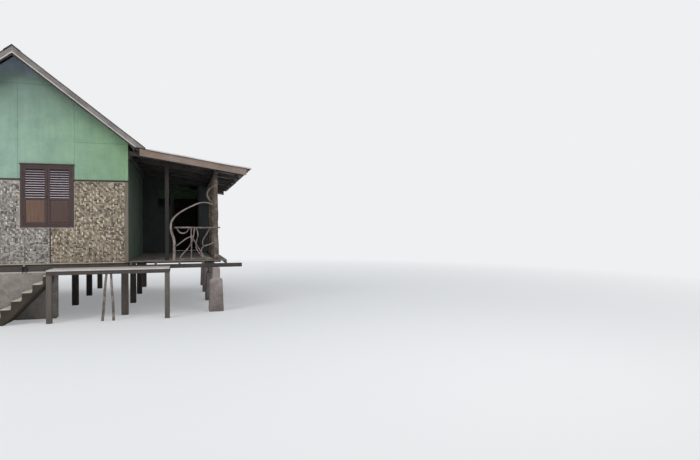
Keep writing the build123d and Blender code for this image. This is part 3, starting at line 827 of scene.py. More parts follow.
@dataclass(frozen=True)
class Bark(Finish):
    """Dry branch wood with ridged bark, pale where it has peeled."""

    peel: float = 0.5

    def wire(self, board: Board, place: Wire) -> tuple[dict[str, Wire], Wire, float]:
        """Bark ridges, peeled patches and lichen specks."""
        ridge = place.scaled(1, 1, 0.35).noise(55, 5.0, 0.7)
        peeled = place.noise(7.0, 4.0, 0.6).fit(0.46, 0.60)
        pale = board.mix(place.noise(90, 2.0), (150, 134, 124), (190, 174, 164))
        dirt = board.effect(dirt_group(), Vector=place)
        colour = board.mix(ridge.fit(0.35, 0.65), self.second, self.colour)
        colour = colour.stained(peeled * self.peel, pale)
        colour = colour.stained(dirt["Speck"] * 0.4, (52, 46, 40))
        rough = ridge.fit(0.3, 0.7, 0.95, self.roughness)
        height = ridge * peeled.fit(0, 1, 1.0, 0.3)
        return {"Base Color": colour, "Roughness": rough}, height, 0.006


@dataclass(frozen=True)
class Plaster(Finish):
    """Lime plaster over masonry: stained, patched and mossy near the ground."""

    grit: float = 0.006
    moss: float = 0.35
    foot: float = 0.7
    lip: float | None = None
    tread: Colour | None = None

    def wire(self, board: Board, place: Wire) -> tuple[dict[str, Wire], Wire, float]:
        """Patches, damp rising from the ground, moss and grit."""
        dirt = board.effect(dirt_group(), Vector=place, Low=0.0, High=self.foot, Size=1.4)
        green = place.noise(5.0, 5.0, 0.7).fit(0.52, 0.68) * self.moss
        colour = board.mix(dirt["Blotch"], self.second, self.colour)
        colour = colour.stained(dirt["Rise"] * 0.6, (74, 68, 58))
        colour = colour.stained(green, (78, 84, 58))
        colour = colour.stained(dirt["Speck"] * 0.5, (58, 52, 46))
        if self.lip:
            level = place.split()[2]
            colour = colour.stained(level.fit(self.lip - 0.006, self.lip) * 0.75, (196, 190, 180))
        # Upward faces turn pale: tread wear together with painted light from above.
        if self.tread:
            pale_tops = board.facing_up() * place.noise(8.0).fit(0.25, 0.5, 0.6, 1.0)
            colour = colour.stained(pale_tops, self.tread)
        grit = place.noise(120, 4.0, 0.7)
        rough = grit.fit(0.3, 0.7, self.roughness - 0.05, self.roughness + 0.1)
        return {"Base Color": colour, "Roughness": rough}, grit, self.grit


def woven(name: str, upright: tuple[Colour, Colour], lying: tuple[Colour, Colour],
          side: Axis = Axis.X) -> dict[Axis, Bamboo]:
    """Finishes of a mat: pale upright strips and browner lying ones."""
    return {Axis.Z: Bamboo(f"{name}_upright", *upright, 0.62, Axis.Z, side),
            Axis.X: Bamboo(f"{name}_lying", *lying, 0.62, Axis.X, side)}


def timber(name: str, colour: Colour, second: Colour, **more: object) -> dict[Axis, Wood]:
    """The same timber finish with its grain along each axis."""
    return {axis: Wood(f"{name}_{axis.name.lower()}", colour, second, axis=axis, **more)
            for axis in Axis}


GREEN = Paint("green_paint", (150, 180, 157), (134, 163, 145), 0.72, shade=0.14)
GREEN_DARK = Paint("green_paint_shaded", (70, 84, 74), (56, 68, 61), 0.75, shade=0.4, top=9.0)
# Painted shade: the end wall's dark blue-grey stands for the deep shade at the verandah's end.
END_DARK = Paint("end_wall_paint", (58, 66, 68), (46, 50, 58), 0.75, stain=(40, 42, 52),
                 shade=0.6, top=9.0)
MAT_GREY = woven("bamboo_grey", ((230, 223, 214), (84, 78, 72)), ((204, 195, 186), (74, 68, 62)))
MAT_WARM = woven("bamboo_warm", ((236, 221, 196), (76, 63, 51)), ((202, 183, 156), (62, 51, 41)))
MAT_SIDE = woven("bamboo_side", ((228, 214, 190), (80, 68, 56)), ((196, 178, 152), (68, 57, 46)),
                 Axis.Y)
ROOF = Metal("roof_zinc", (132, 131, 133), (92, 89, 91), 0.50, rust=0.85)
PIN = Metal("nail_head", (118, 128, 118), (92, 98, 90), 0.6, rust=0.5)
ZINC = Metal("edge_zinc", (226, 222, 222), (196, 190, 190), 0.45, rust=0.25)
BARK = Bark("branch_bark", (140, 125, 118), (72, 61, 57), 0.85, peel=0.6)
BARE_BARK = Bark("bent_bark", (172, 156, 148), (84, 70, 65), 0.85, peel=0.8)
TRUNK = Bark("trunk_bark", (118, 104, 87), (57, 48, 41), 0.85, peel=0.35)
PLASTER = Plaster("plinth_plaster", (174, 166, 157), (140, 132, 125), 0.88, lip=1.118)
PIER = Plaster("pier_plaster", (178, 164, 160), (134, 122, 118), 0.88)
MASONRY = Plaster("stair_masonry", (82, 70, 58), (49, 41, 34), 0.92, grit=0.012, moss=0.12,
                  foot=0.9, tread=(226, 218, 202))
ROUGH = timber("rough_timber", (124, 114, 106), (76, 68, 62))
# Dark timber; on the verandah bearers and the battens behind the edge boards it is painted shade.
DARK = timber("roof_timber", (60, 52, 50), (36, 31, 30), greying=0.3, damp=0.0)
BARGE = Wood("barge_timber", (142, 133, 127), (74, 68, 66), axis=Axis.X, grey=(166, 160, 156),
             greying=0.7, damp=0.0, pale=(208, 203, 199), tilt=MAIN_PITCH, lower_edge=True)
TAN = Wood("lean_barge_timber", (164, 142, 122), (92, 74, 62), axis=Axis.X,
           grey=(160, 144, 138), greying=0.7, damp=0.0, tilt=LEAN_PITCH)
JOINERY = timber("joinery", (76, 52, 51), (45, 29, 30), grey=(85, 70, 70), greying=0.35,
                 damp=0.0, roughness=0.55)
# Slats: the dark body is partly painted shade on the slats' faces, and the pale noses are a painted
# highlight.
SLATS = timber("slat", (46, 32, 35), (27, 19, 21), grey=(54, 41, 45), damp=0.0, bleach=0.9,
               pale=(226, 212, 218), nose=True)
PANEL_WARM = Wood("panel_warm", (132, 98, 78), (82, 59, 47), 0.5, grey=(104, 84, 76),
                  greying=0.2, damp=0.0)
PANEL_DULL = Wood("panel_dull", (93, 67, 57), (61, 42, 37), 0.55, grey=(84, 68, 64),
                  greying=0.25, damp=0.0)
# Dark red timber made near black as painted shade for the post, posts and door lining under the
# verandah roof.
RED = timber("red_timber", (26, 18, 18), (15, 10, 10), greying=0.1, damp=0.0)
RIM = timber("rim_timber", (90, 81, 75), (56, 48, 44), grey=(88, 80, 74))
BLEACHED = timber("bleached_board", (238, 232, 228), (186, 178, 172), grey=(214, 208, 204),
                  board_width=0.14)
DECKING = timber("deck_board", (150, 141, 131), (106, 96, 86), board_width=0.12)
# Dark floor boards; their front edges are partly painted shade, for the shadow gap at the foot of
# the walls.
FLOORING = timber("floor_board", (62, 54, 48), (38, 32, 28), board_width=0.18)
TRIM = timber("corner_trim", (140, 130, 114), (104, 94, 82), greying=0.4, damp=0.0)
# Dark timber for belt battens, straps and walkway packers; partly painted shade, for the shadow line
# under the sheets and under the walkway planks.
BELT_WOOD = timber("belt_batten", (62, 54, 48), (36, 32, 30), greying=0.15, damp=0.0)
EDGING = timber("mat_edging", (214, 200, 178), (160, 144, 122), grey=(190, 180, 166), damp=0.0)
# Painted shade: the dark backing shows through the gaps between the woven strips.
BACKING = Wood("mat_backing", (70, 60, 50), (40, 34, 30), damp=0.0)


def islands(shape: bmesh.types.BMesh) -> Iterator[list[bmesh.types.BMFace]]:
    """The faces of each loose member of a mesh."""
    seen: set[int] = set()
    for first in shape.faces:
        if first.index in seen:
            continue
        heap, island = [first], []
        seen.add(first.index)
        while heap:
            face = heap.pop()
            island.append(face)
            for other in (f for edge in face.edges for f in edge.link_faces):
                if other.index not in seen:
                    seen.add(other.index)
                    heap.append(other)
        yield island


def dress(piece: Piece, finish: Finish | dict[Axis, Finish]) -> None:
    """Give a piece one finish, or each loose member the grain that runs along it.

    Args:
        piece: Object to dress.
        finish: Its finish, or one for each direction.
    """
    piece.data.materials.clear()
    by_length = isinstance(finish, dict)
    for one in [finish[axis] for axis in Axis] if by_length else [finish]:
        piece.data.materials.append(one.material())
    shape = bmesh.new()
    shape.from_mesh(piece.data)
    for island in islands(shape) if by_length else [shape.faces]:
        points = [v.co for face in island for v in face.verts] if by_length else [Vector()]
        spans = [max(p[i] for p in points) - min(p[i] for p in points) for i in range(3)]
        for face in island:
            face.material_index = spans.index(max(spans))
    shape.to_mesh(piece.data)
    shape.free()


def hand_in(piece: Piece, slot: str, *nodes: str) -> None:
    """Let a finished piece ride on the house, and hide the CAD nodes that it stands for.

    Args:
        piece: Finished object.
        slot: Not used.
        nodes: CAD nodes that it replaces.
    """
    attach(piece, "root")
    if nodes:
        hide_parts(*nodes)
    log.info("%s: %d faces", piece.name, len(piece.data.polygons))


def complete(piece: Piece, ease: float, finish: Finish | dict[Axis, Finish], slot: str,
             *nodes: str, segments: int = 1) -> None:
    """Ease a piece's edges, dress it, and let it ride on the house in place of its CAD nodes.

    Args:
        piece: Object to complete.
        ease: Width of the eased edges in metres.
        finish: Its finish, or one for each direction.
        slot: Material slot of the record.
        nodes: CAD nodes that it replaces.
        segments: Number of faces across an eased edge.
    """
    chamfer(piece, ease, segments)
    dress(piece, finish)
    hand_in(piece, slot, *nodes)


def crooked(route: Sequence[Point], radii: Sequence[float], finish: Finish, sides: int = 3,
            lump: float = 0.09, depth: float = 0.008, rounder: bool = False) -> Piece:
    """A natural stick with a crooked surface, dressed in its bark.

    Args:
        route: Points that lead the stick.
        radii: Radius at the start and at the end, or one for each point.
        finish: Its bark.
        sides: Bevel resolution of the round section.
        lump: Size of the unevenness in metres.
        depth: Full depth of the unevenness.
        rounder: Whether the mesh is subdivided first.

    Returns:
        The stick.
    """
    stick = branch(route, radii, sides)
    if rounder:
        modifier(stick, "SUBSURF", levels=1, render_levels=1)
    roughen(stick, lump, depth)
    smooth(stick, 60)
    dress(stick, finish)
    return stick


# Sub-assemblies


@dataclass
class Roof:
    """Three slopes of corrugated sheets, the ridge cap and the roof's edge boards."""

    pitch: float = 0.076
    depth: float = 0.018
    waves: int = 12
    courses: int = 9
    gauge: float = 0.0016
    slip: float = 0.012
    crest_gain: float = 1.28
    ridge_gap: float = 0.031
    main_eave: float = 2.86
    lean_eave: float = 5.46
    purlins: Sequence[float] = tuple(0.09 + 0.516 * i for i in range(6))
    lean_purlins: Sequence[float] = tuple(2.6 + 0.662 * i for i in range(5))
    cap_width: float = 0.36
    batten_places: Sequence[float] = (-0.4565, 7.637)
    batten_run: tuple[float, float] = (0.113, 3.56)
    batten_levels: tuple[float, float] = (-0.158, -0.088)
    batten_width: float = 0.0195
    strip_ends: tuple[float, float] = (0.42, 2.93)
    seed: int = 7

    def slope(self, name: str, side: int, ends: tuple[float, float], angle: float,
              line: Callable[[float], float], purlins: Sequence[float]) -> None:
        """Overlapping corrugated sheets on one slope, with nails over the purlins.

        Args:
            name: Name of the CAD node that it replaces.
            side: 1 for the slope towards +X, -1 for the other.
            ends: Distances of the upper and the lower edge from the ridge.
            angle: Pitch in degrees.
            line: Height of the purlin tops at X.
            purlins: Distances of the purlins from the ridge.
        """
        rng = random.Random(self.seed + side * 3 + round(angle))
        run = (ends[1] - ends[0]) / cos(radians(angle))
        sheets = []
        for number in range(self.courses):
            lap = 1 if number else 0
            count = self.waves + lap
            width = count * self.pitch
            sheet = grid(f"{name}_sheet", (run, width), (5, 2 * count))
            crest = lambda co: round((co.y + width / 2) / self.pitch * 2) % 2 == 1
            with editing(sheet, vertices=crest):
                bpy.ops.transform.translate(value=(0, 0, self.depth * self.crest_gain))
            modifier(sheet, "SUBSURF", levels=2, render_levels=2,
                     boundary_smooth="PRESERVE_CORNERS")
            roughen(sheet, 0.6, 0.006, "Z")
            modifier(sheet, "SOLIDIFY", thickness=self.gauge, offset=1.0)
            y = ROOF_FRONT + (number * self.waves - lap + count / 2) * self.pitch
            lift = 0.003 + (self.gauge if number % 2 else 0.0)
            settle(sheet, (run / 2 + rng.uniform(-self.slip, 0.0), y, lift))
            sheets.append(sheet)
        runs = [(x - ends[0]) / cos(radians(angle)) for x in purlins]
        sheets.append(self.nails(runs, rng))
        whole = join(f"{name}_sheets", sheets)
        settle(whole, (ends[0], 0, line(ends[0])), (0, angle, 0))
        if side < 0:
            mirror(whole)
            over = max(v.co.x for v in whole.data.vertices) + ends[0]
            settle(whole, (-over, 0, 0))
        smooth(whole, 50)
        dress(whole, ROOF)
        hand_in(whole, "roof_sheet", name)

    def nails(self, runs: Sequence[float], rng: random.Random) -> Piece:
        """Nail heads on every fourth wave over each purlin."""
        spots = [(run + rng.uniform(-self.slip, self.slip),
                  ROOF_FRONT + (wave + 0.5) * self.pitch, self.depth + 0.006)
                 for run in runs for wave in range(1, self.waves * self.courses, 4)]
        return scatter("roof_nails", nail_head(0.011, 0.002, 0.005, 0.004), spots)

    def cap(self) -> None:
        """Folded ridge cap with a rounded crown."""
        half = self.cap_width / 2
        cap = grid("ridge_cap_sheet", (self.cap_width, ROOF_BACK - ROOF_FRONT - 0.01), (2, 24))
        with editing(cap, vertices=lambda co: abs(co.x) < 0.01):
            bpy.ops.transform.translate(value=(0, 0, half * tan(radians(MAIN_PITCH))))
            bpy.ops.mesh.bevel(offset=0.035, segments=5)
        roughen(cap, 0.35, 0.006, "Z")
        modifier(cap, "SOLIDIFY", thickness=0.002, offset=1.0)
        settle(cap, (0, (ROOF_FRONT + ROOF_BACK) / 2, main_line(half) + self.ridge_gap))
        smooth(cap, 40)
        dress(cap, ROOF)
        hand_in(cap, "roof_sheet", "ridge_cap")

    def edges(self) -> None:
        """Edge boards, dark battens behind them that stand for the shadow under their lower edge,
        and the lean-to's edge strip.
        """
        complete(copy_of("barge_boards", "gable_edge_boards"), 0.004, BARGE, "barge_board",
                 "barge_boards")
        # Painted shadow: the dark battens reach just below the edge boards to make the shadow line
        # under them.
        battens = []
        bottom, top = self.batten_levels
        for y in self.batten_places:
            for side in (-1, 1):
                a, b = sorted(side * reach for reach in self.batten_run)
                batten = box("verge_batten", (a, y, bottom), (b, y + self.batten_width, top))
                settle(batten, (0, 0, main_line(0)), (0, side * MAIN_PITCH, 0))
                battens.append(batten)
        complete(join("verge_battens", battens), 0.002, DARK[Axis.X], "rough_timber")
        a, b = self.strip_ends
        strip = join("edge_strip", [
            box("edge_face", (a, -0.522, -0.002), (b, -0.519, 0.027)),
            box("edge_flange", (a, -0.519, 0.0255), (b, -0.462, 0.0275))])
        settle(strip, (LEAN_START, 0, lean_line(LEAN_START)), (0, LEAN_PITCH, 0))
        roughen(strip, 0.4, 0.003, "Z")
        dress(strip, ZINC)
        hand_in(strip, "roof_sheet")
        complete(copy_of("lean_to_barges", "lean_edge_boards"), 0.004, TAN, "barge_board",
                 "lean_to_barges")

    def build(self) -> None:
        """Build the whole roof covering."""
        for name, side in (("main_roof_left", -1), ("main_roof_right", 1)):
            self.slope(name, side, (self.ridge_gap, self.main_eave), MAIN_PITCH, main_line,
                       self.purlins)
        self.slope("lean_to_roof", 1, (LEAN_START, self.lean_eave), LEAN_PITCH, lean_line,
                   self.lean_purlins)
        self.cap()
        self.edges()


@dataclass
class Frame:
    """Sawn members that stay as the CAD has them, with eased edges and their grain."""

    # dark: members in dark timber; the verandah bearers take it as painted shade under the deck.
    dark: Sequence[str] = ("ridge_board", "main_rafters", "main_purlins", "lean_rafters",
                           "lean_purlins", "lean_ledger", "verandah_beam", "wall_plates",
                           "wall_posts", "verandah_bearers")
    plain: Sequence[str] = ("stilts", "floor_bearers", "floor_joists")
    shaded: Sequence[str] = ("floor_rims", "walkway_frame")

    def build(self) -> None:
        """Ease and dress every sawn member."""
        for names, finishes in ((self.dark, DARK), (self.plain, ROUGH), (self.shaded, RIM)):
            for node in names:
                slot = "stilt_timber" if node == "stilts" else "rough_timber"
                complete(copy_of(node, f"{node}_sawn"), 0.004, finishes, slot, node)
        complete(copy_of("entry_post", "entry_post_planed"), 0.006, RED[Axis.Z], "rough_timber",
                 "entry_post")


@dataclass
class WallSheets:
    """Thin painted sheets above the woven walls and along the verandah."""

    gap: float = 0.0035
    pin_step: float = 0.29
    pin_inset: float = 0.025
    short_seam: float = 0.55
    verandah_seam: float = 3.74
    eave_sheets_top: float = 4.24
    verandah_sheets_top: float = 3.90

    def sheets(self, node: str, cells: Sequence[tuple[int, Span, Span]], finish: Finish) -> None:
        """Cut a CAD skin into separate sheets with narrow gaps.

        Args:
            node: CAD node of the skin.
            cells: Axis of the wall, span along it and span of heights of each sheet.
            finish: Paint of the sheets.
        """
        whole = copy_of(node, f"{node}_sheet")
        parts = []
        for axis, along, heights in cells:
            part = twin(whole)
            for way, span in ((axis, along), (2, heights)):
                for level, side in zip(span, (-1, 1)):
                    if level is not None:
                        trim(part, way, level - side * self.gap / 2, side)
            if part.data.polygons:
                parts.append(part)
            else:
                bpy.data.objects.remove(part)
        bpy.data.objects.remove(whole)
        complete(join(f"{node}_sheets", parts), 0.0012, finish, "green_boards", node)

    def nail_up(self) -> None:
        """Nail the sheets beside their edges on every painted wall."""
        beside = (-self.pin_inset, self.pin_inset)
        across = [x + side for x in (-SHEET, 0.0, SHEET) for side in beside] + [-2.40, 2.40]
        along = [SHEET * i + side for i in range(1, 6) for side in beside]
        belt = BELT + 0.07
        gable = (across, belt, lambda x: main_line(x) - 0.30, GABLE_WINDOWS)
        for name, wall, place, turn in (
                ("front_nails", gable, lambda a, z: (a, FRONT_FACE, z), (90, 0, 0)),
                ("back_nails", gable, lambda a, z: (a, BACK_FACE, z), (-90, 0, 0)),
                ("left_nails", (along, belt, lambda y: self.eave_sheets_top, LEFT_WINDOWS),
                 lambda a, z: (-HALF_WIDTH, a, z), (0, -90, 0)),
                ("verandah_nails", (along[:8], DECK + 0.06, lambda y: self.verandah_sheets_top, ()),
                 lambda a, z: (HALF_WIDTH, a, z), (0, 90, 0))):
            lines, low, high, windows = wall
            spots = []
            for a in lines:
                for step in range(int((high(a) - low) / self.pin_step) + 1):
                    z = low + self.pin_step * step
                    clear = all(abs(a - c) > WINDOW_WIDTH / 2 + 0.03 for c in windows)
                    if clear or z > WINDOW_HEAD + 0.03:
                        spots.append(place(a, z))
            pin = nail_head(0.006, 0.003, 0.003, 0.0015)
            settle(pin, turn=turn)
            pins = scatter(name, pin, spots)
            dress(pins, PIN)
            hand_in(pins, "green_boards")

    def along(self, axis: int, ends: tuple[float, float],
              heights: Sequence[float] = ()) -> list[tuple[int, Span, Span]]:
        """Cells of equal sheets along X (0) or Y (1), split at some heights."""
        count = max(1, round((ends[1] - ends[0]) / SHEET))
        edges = [None] + [ends[0] + SHEET * i for i in range(1, count)] + [None]
        rows = [None, *heights, None]
        return [(axis, span, levels) for span in zip(edges, edges[1:])
                for levels in zip(rows, rows[1:])]

    def build(self) -> None:
        """Cut and paint every sheeted wall."""
        gable = [(0, (None, -SHEET), (None, LOWER_SEAM)), (0, (-SHEET, 0.0), (None, UPPER_SEAM)),
                 (0, (0.0, SHEET), (None, UPPER_SEAM)), (0, (SHEET, None), (None, LOWER_SEAM)),
                 (0, (None, -SHEET), (LOWER_SEAM, None)), (0, (SHEET, None), (LOWER_SEAM, None)),
                 (0, (-SHEET, self.short_seam), (UPPER_SEAM, None)),
                 (0, (self.short_seam, SHEET), (UPPER_SEAM, None))]
        whole = [(0, (None, None), (None, None))]
        for node, cells, finish in (
                ("front_gable_boards", gable, GREEN), ("back_gable_boards", gable, GREEN),
                ("left_upper_boards", self.along(1, (0.0, DEPTH)), GREEN),
                ("right_wall_boards", self.along(1, (0.0, DEPTH), [self.verandah_seam]), GREEN_DARK),
                ("end_wall_left", whole, END_DARK), ("end_wall_right", whole, END_DARK),
                ("end_wall_over_door", self.along(0, (HALF_WIDTH, HALF_WIDTH + 2 * SHEET)),
                 END_DARK),
                ("room_upper_boards", self.along(1, (END_WALL, DEPTH)), GREEN)):
            self.sheets(node, cells, finish)
        self.nail_up()
        for node, finish, ease, slot in (
                ("lower_corner_boards", TRIM, 0.002, "rough_timber"),
                ("upper_corner_boards", GREEN, 0.002, "green_boards"),
                ("belt_battens", BELT_WOOD, 0.004, "rough_timber")):
            complete(copy_of(node, f"{node}_planed"), ease, finish, slot, node)


@dataclass
class WovenWall:
    """Split bamboo woven two over, two under, fixed over the wall's lower panels."""

    strip: float = 0.032
    cover: float = 0.0290
    rise: float = 0.0030
    crown: float = 0.0012
    out: float = 0.0007

    @staticmethod
    def over(column: int, row: int) -> bool:
        """Whether the upright strip lies over the other in a cell of the twill."""
        return (column + row) % 4 < 2

    def strips(self, name: str, width: float, height: float, upright: bool,
               finish: Finish) -> Piece:
        """All strips of one direction, centred on X and Z, facing -Y.

        Args:
            name: Name of the piece.
            width: Width of the mat.
            height: Height of the mat.
            upright: Whether the strips stand.
            finish: Finish of the strips.

        Returns:
            The joined strips.
        """
        length, span = (height, width) if upright else (width, height)
        crossings = round(length / self.strip)
        rows = round(span / self.strip)
        along = lambda co: round(co.y / self.strip + crossings / 2)
        groups = []
        for phase in range(4):
            strip = grid(name, (self.cover, crossings * self.strip), (2, crossings))
            raised = ((lambda co: self.over(phase, along(co))) if upright else
                      (lambda co: not self.over(crossings - 1 - along(co), phase)))
            for wanted, rise in ((raised, 2 * self.rise),
                                 (lambda co: abs(co.x) < 0.01, self.crown)):
                with editing(strip, vertices=wanted):
                    bpy.ops.transform.translate(value=(0, 0, rise))
            modifier(strip, "ARRAY", count=(rows - phase + 3) // 4, use_relative_offset=False,
                     use_constant_offset=True, constant_offset_displace=(4 * self.strip, 0, 0))
            settle(strip, ((phase + 0.5 - rows / 2) * self.strip, self.strip / 2, 0))
            groups.append(strip)
        mat = join(name, groups)
        settle(mat, turn=(0, 0, 0 if upright else 90))
        settle(mat, turn=(90, 0, 0))
        dress(mat, finish)
        return mat

    def mat(self, span: tuple[float, float], levels: tuple[float, float], wall: float, face: int,
            windows: Sequence[float], finishes: dict[Axis, Finish]) -> Piece:
        """One woven mat on a wall.

        Args:
            span: Start and end along the wall.
            levels: Bottom and top.
            wall: Place of the wall's face across its axis.
            face: Degrees that the wall's outside is turned about Z from -Y.
            windows: Middles of the windows along the wall.
            finishes: Finish for upright and lying strips.

        Returns:
            The mat in its place.
        """
        axis = 0 if face in (0, 180) else 1
        sizes, middles = [], []
        for low, high in (span, levels):
            size = high - low + 4 * self.strip
            middle = (low + high) / 2
            cells = round(size / self.strip)
            middles.append(middle - (middle - cells * self.strip / 2) % self.strip)
            sizes.append(size)
        whole = join("mat", [self.strips("strips", *sizes, upright, finishes[way])
                             for upright, way in ((True, Axis.Z), (False, Axis.X))])
        place = (middles[0], wall) if axis == 0 else (wall, middles[0])
        settle(whole, (*place, middles[1]), (0, 0, face))
        for way, ends in ((axis, span), (2, levels)):
            for level, side in zip(ends, (-1, 1)):
                trim(whole, way, level, side, close=False)
        reach = WINDOW_WIDTH / 2 - 0.02
        for c in windows:
            remove_faces(whole, lambda centre, normal: (abs(centre[axis] - c) < reach
                                                        and centre.z > SILL + 0.02))
        return whole

    def build(self) -> None:
        """Weave every lower wall and darken the panels behind the mats as painted shade in the gaps
        between strips.
        """
        front, back, left = FRONT_FACE - self.out, BACK_FACE + self.out, -HALF_WIDTH - self.out
        room = ROOM_FACE + self.out
        levels, deck_levels = (MAT_FOOT, BELT), (DECK + 0.002, BELT)
        for node, mats in {
                "front_bamboo_wall": [
                    ((-HALF_WIDTH, FRONT_SEAM[0]), levels, front, 0, GABLE_WINDOWS, MAT_GREY),
                    ((FRONT_SEAM[1], HALF_WIDTH), levels, front, 0, GABLE_WINDOWS, MAT_WARM)],
                "back_bamboo_wall": [
                    ((-HALF_WIDTH, BACK_SEAM[0]), levels, back, 180, GABLE_WINDOWS, MAT_WARM),
                    ((BACK_SEAM[1], HALF_WIDTH), levels, back, 180, GABLE_WINDOWS, MAT_GREY)],
                "left_bamboo_wall": [
                    ((SIDE_FRONT, SIDE_SEAM[0]), levels, left, -90, LEFT_WINDOWS, MAT_SIDE),
                    ((SIDE_SEAM[1], SIDE_BACK), levels, left, -90, LEFT_WINDOWS, MAT_SIDE)],
                "room_bamboo_wall": [
                    ((ROOM_FRONT, SIDE_BACK), deck_levels, room, 90, (), MAT_SIDE),
                    ((HALF_WIDTH, ROOM_FACE), deck_levels, back, 180, (), MAT_WARM)]}.items():
            hand_in(join(f"{node}_weave", [self.mat(*mat) for mat in mats]), "woven_bamboo")
            dress(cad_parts[node], BACKING)


@dataclass
class Edging:
    """Thin split battens that hold the mats' edges, and the hanger on the rim."""

    depth: float = 0.009
    width: float = 0.012
    foot_top: float = 1.332
    top: float = 3.316
    head: float = 0.013
    strap_places: Sequence[float] = (0.085, 0.160)
    strap_width: float = 0.018

    def wall(self, name: str, face: float, out: int, axis: int, ends: tuple[float, float],
             windows: Sequence[float], seams: Sequence[float] = ()) -> None:
        """Battens round one wall's mats and windows.

        Args:
            name: Name of the piece.
            face: Place of the wall's face across its axis.
            out: Sign of the outward direction.
            axis: Axis that the wall runs along.
            ends: Start and end along the wall.
            windows: Middles of the windows.
            seams: Places of the mats' seams.
        """
        half = WINDOW_WIDTH / 2
        beside = half + self.width + 0.002
        edges = [ends[0]] + [c + side * beside for c in windows for side in (-1, 1)] + [ends[1]]
        spans = [(*ends, MAT_FOOT, self.foot_top)]
        spans += [(a, b, self.top, self.top + self.head)
                  for a, b in zip(edges[::2], edges[1::2])]
        for c in windows:
            spans += [(a, a + self.width, SILL - 0.05, self.top)
                      for a in (c - beside, c + half + 0.002)]
            spans.append((c - half, c + half, SILL - 0.016, SILL - 0.003))
        spans += [(x, x + self.width, self.foot_top, self.top) for x in seams]
        near, far = sorted((face + out * 0.001, face + out * self.depth))
        battens = []
        for a, b, low, high in spans:
            first, last = ((a, near), (b, far)) if axis == 0 else ((near, a), (far, b))
            battens.append(box("edging", (*first, low), (*last, high)))
        complete(join(name, battens), 0.002, EDGING, "woven_bamboo")

    def build(self) -> None:
        """Fix every batten, and two dark straps with a peg under the window."""
        self.wall("front_edging", FRONT_FACE, -1, 0, (-CORNER_BOARD, CORNER_BOARD), GABLE_WINDOWS)
        self.wall("back_edging", BACK_FACE, 1, 0, (-CORNER_BOARD, HALF_WIDTH), GABLE_WINDOWS)
        self.wall("left_edging", -HALF_WIDTH, -1, 1, (SIDE_FRONT, SIDE_BACK), LEFT_WINDOWS,
                  SIDE_SEAM[:1])
        straps = [box("strap", (x, -0.093, 1.125), (x + self.strap_width, -0.045, 1.285))
                  for x in self.strap_places]
        complete(join("rim_hanger", straps), 0.003, BELT_WOOD[Axis.Z], "rough_timber")
        complete(box("rim_peg", (0.110, -0.100, 1.272), (0.150, -0.046, 1.300)), 0.006,
                 EDGING[Axis.Y], "rough_timber", segments=2)


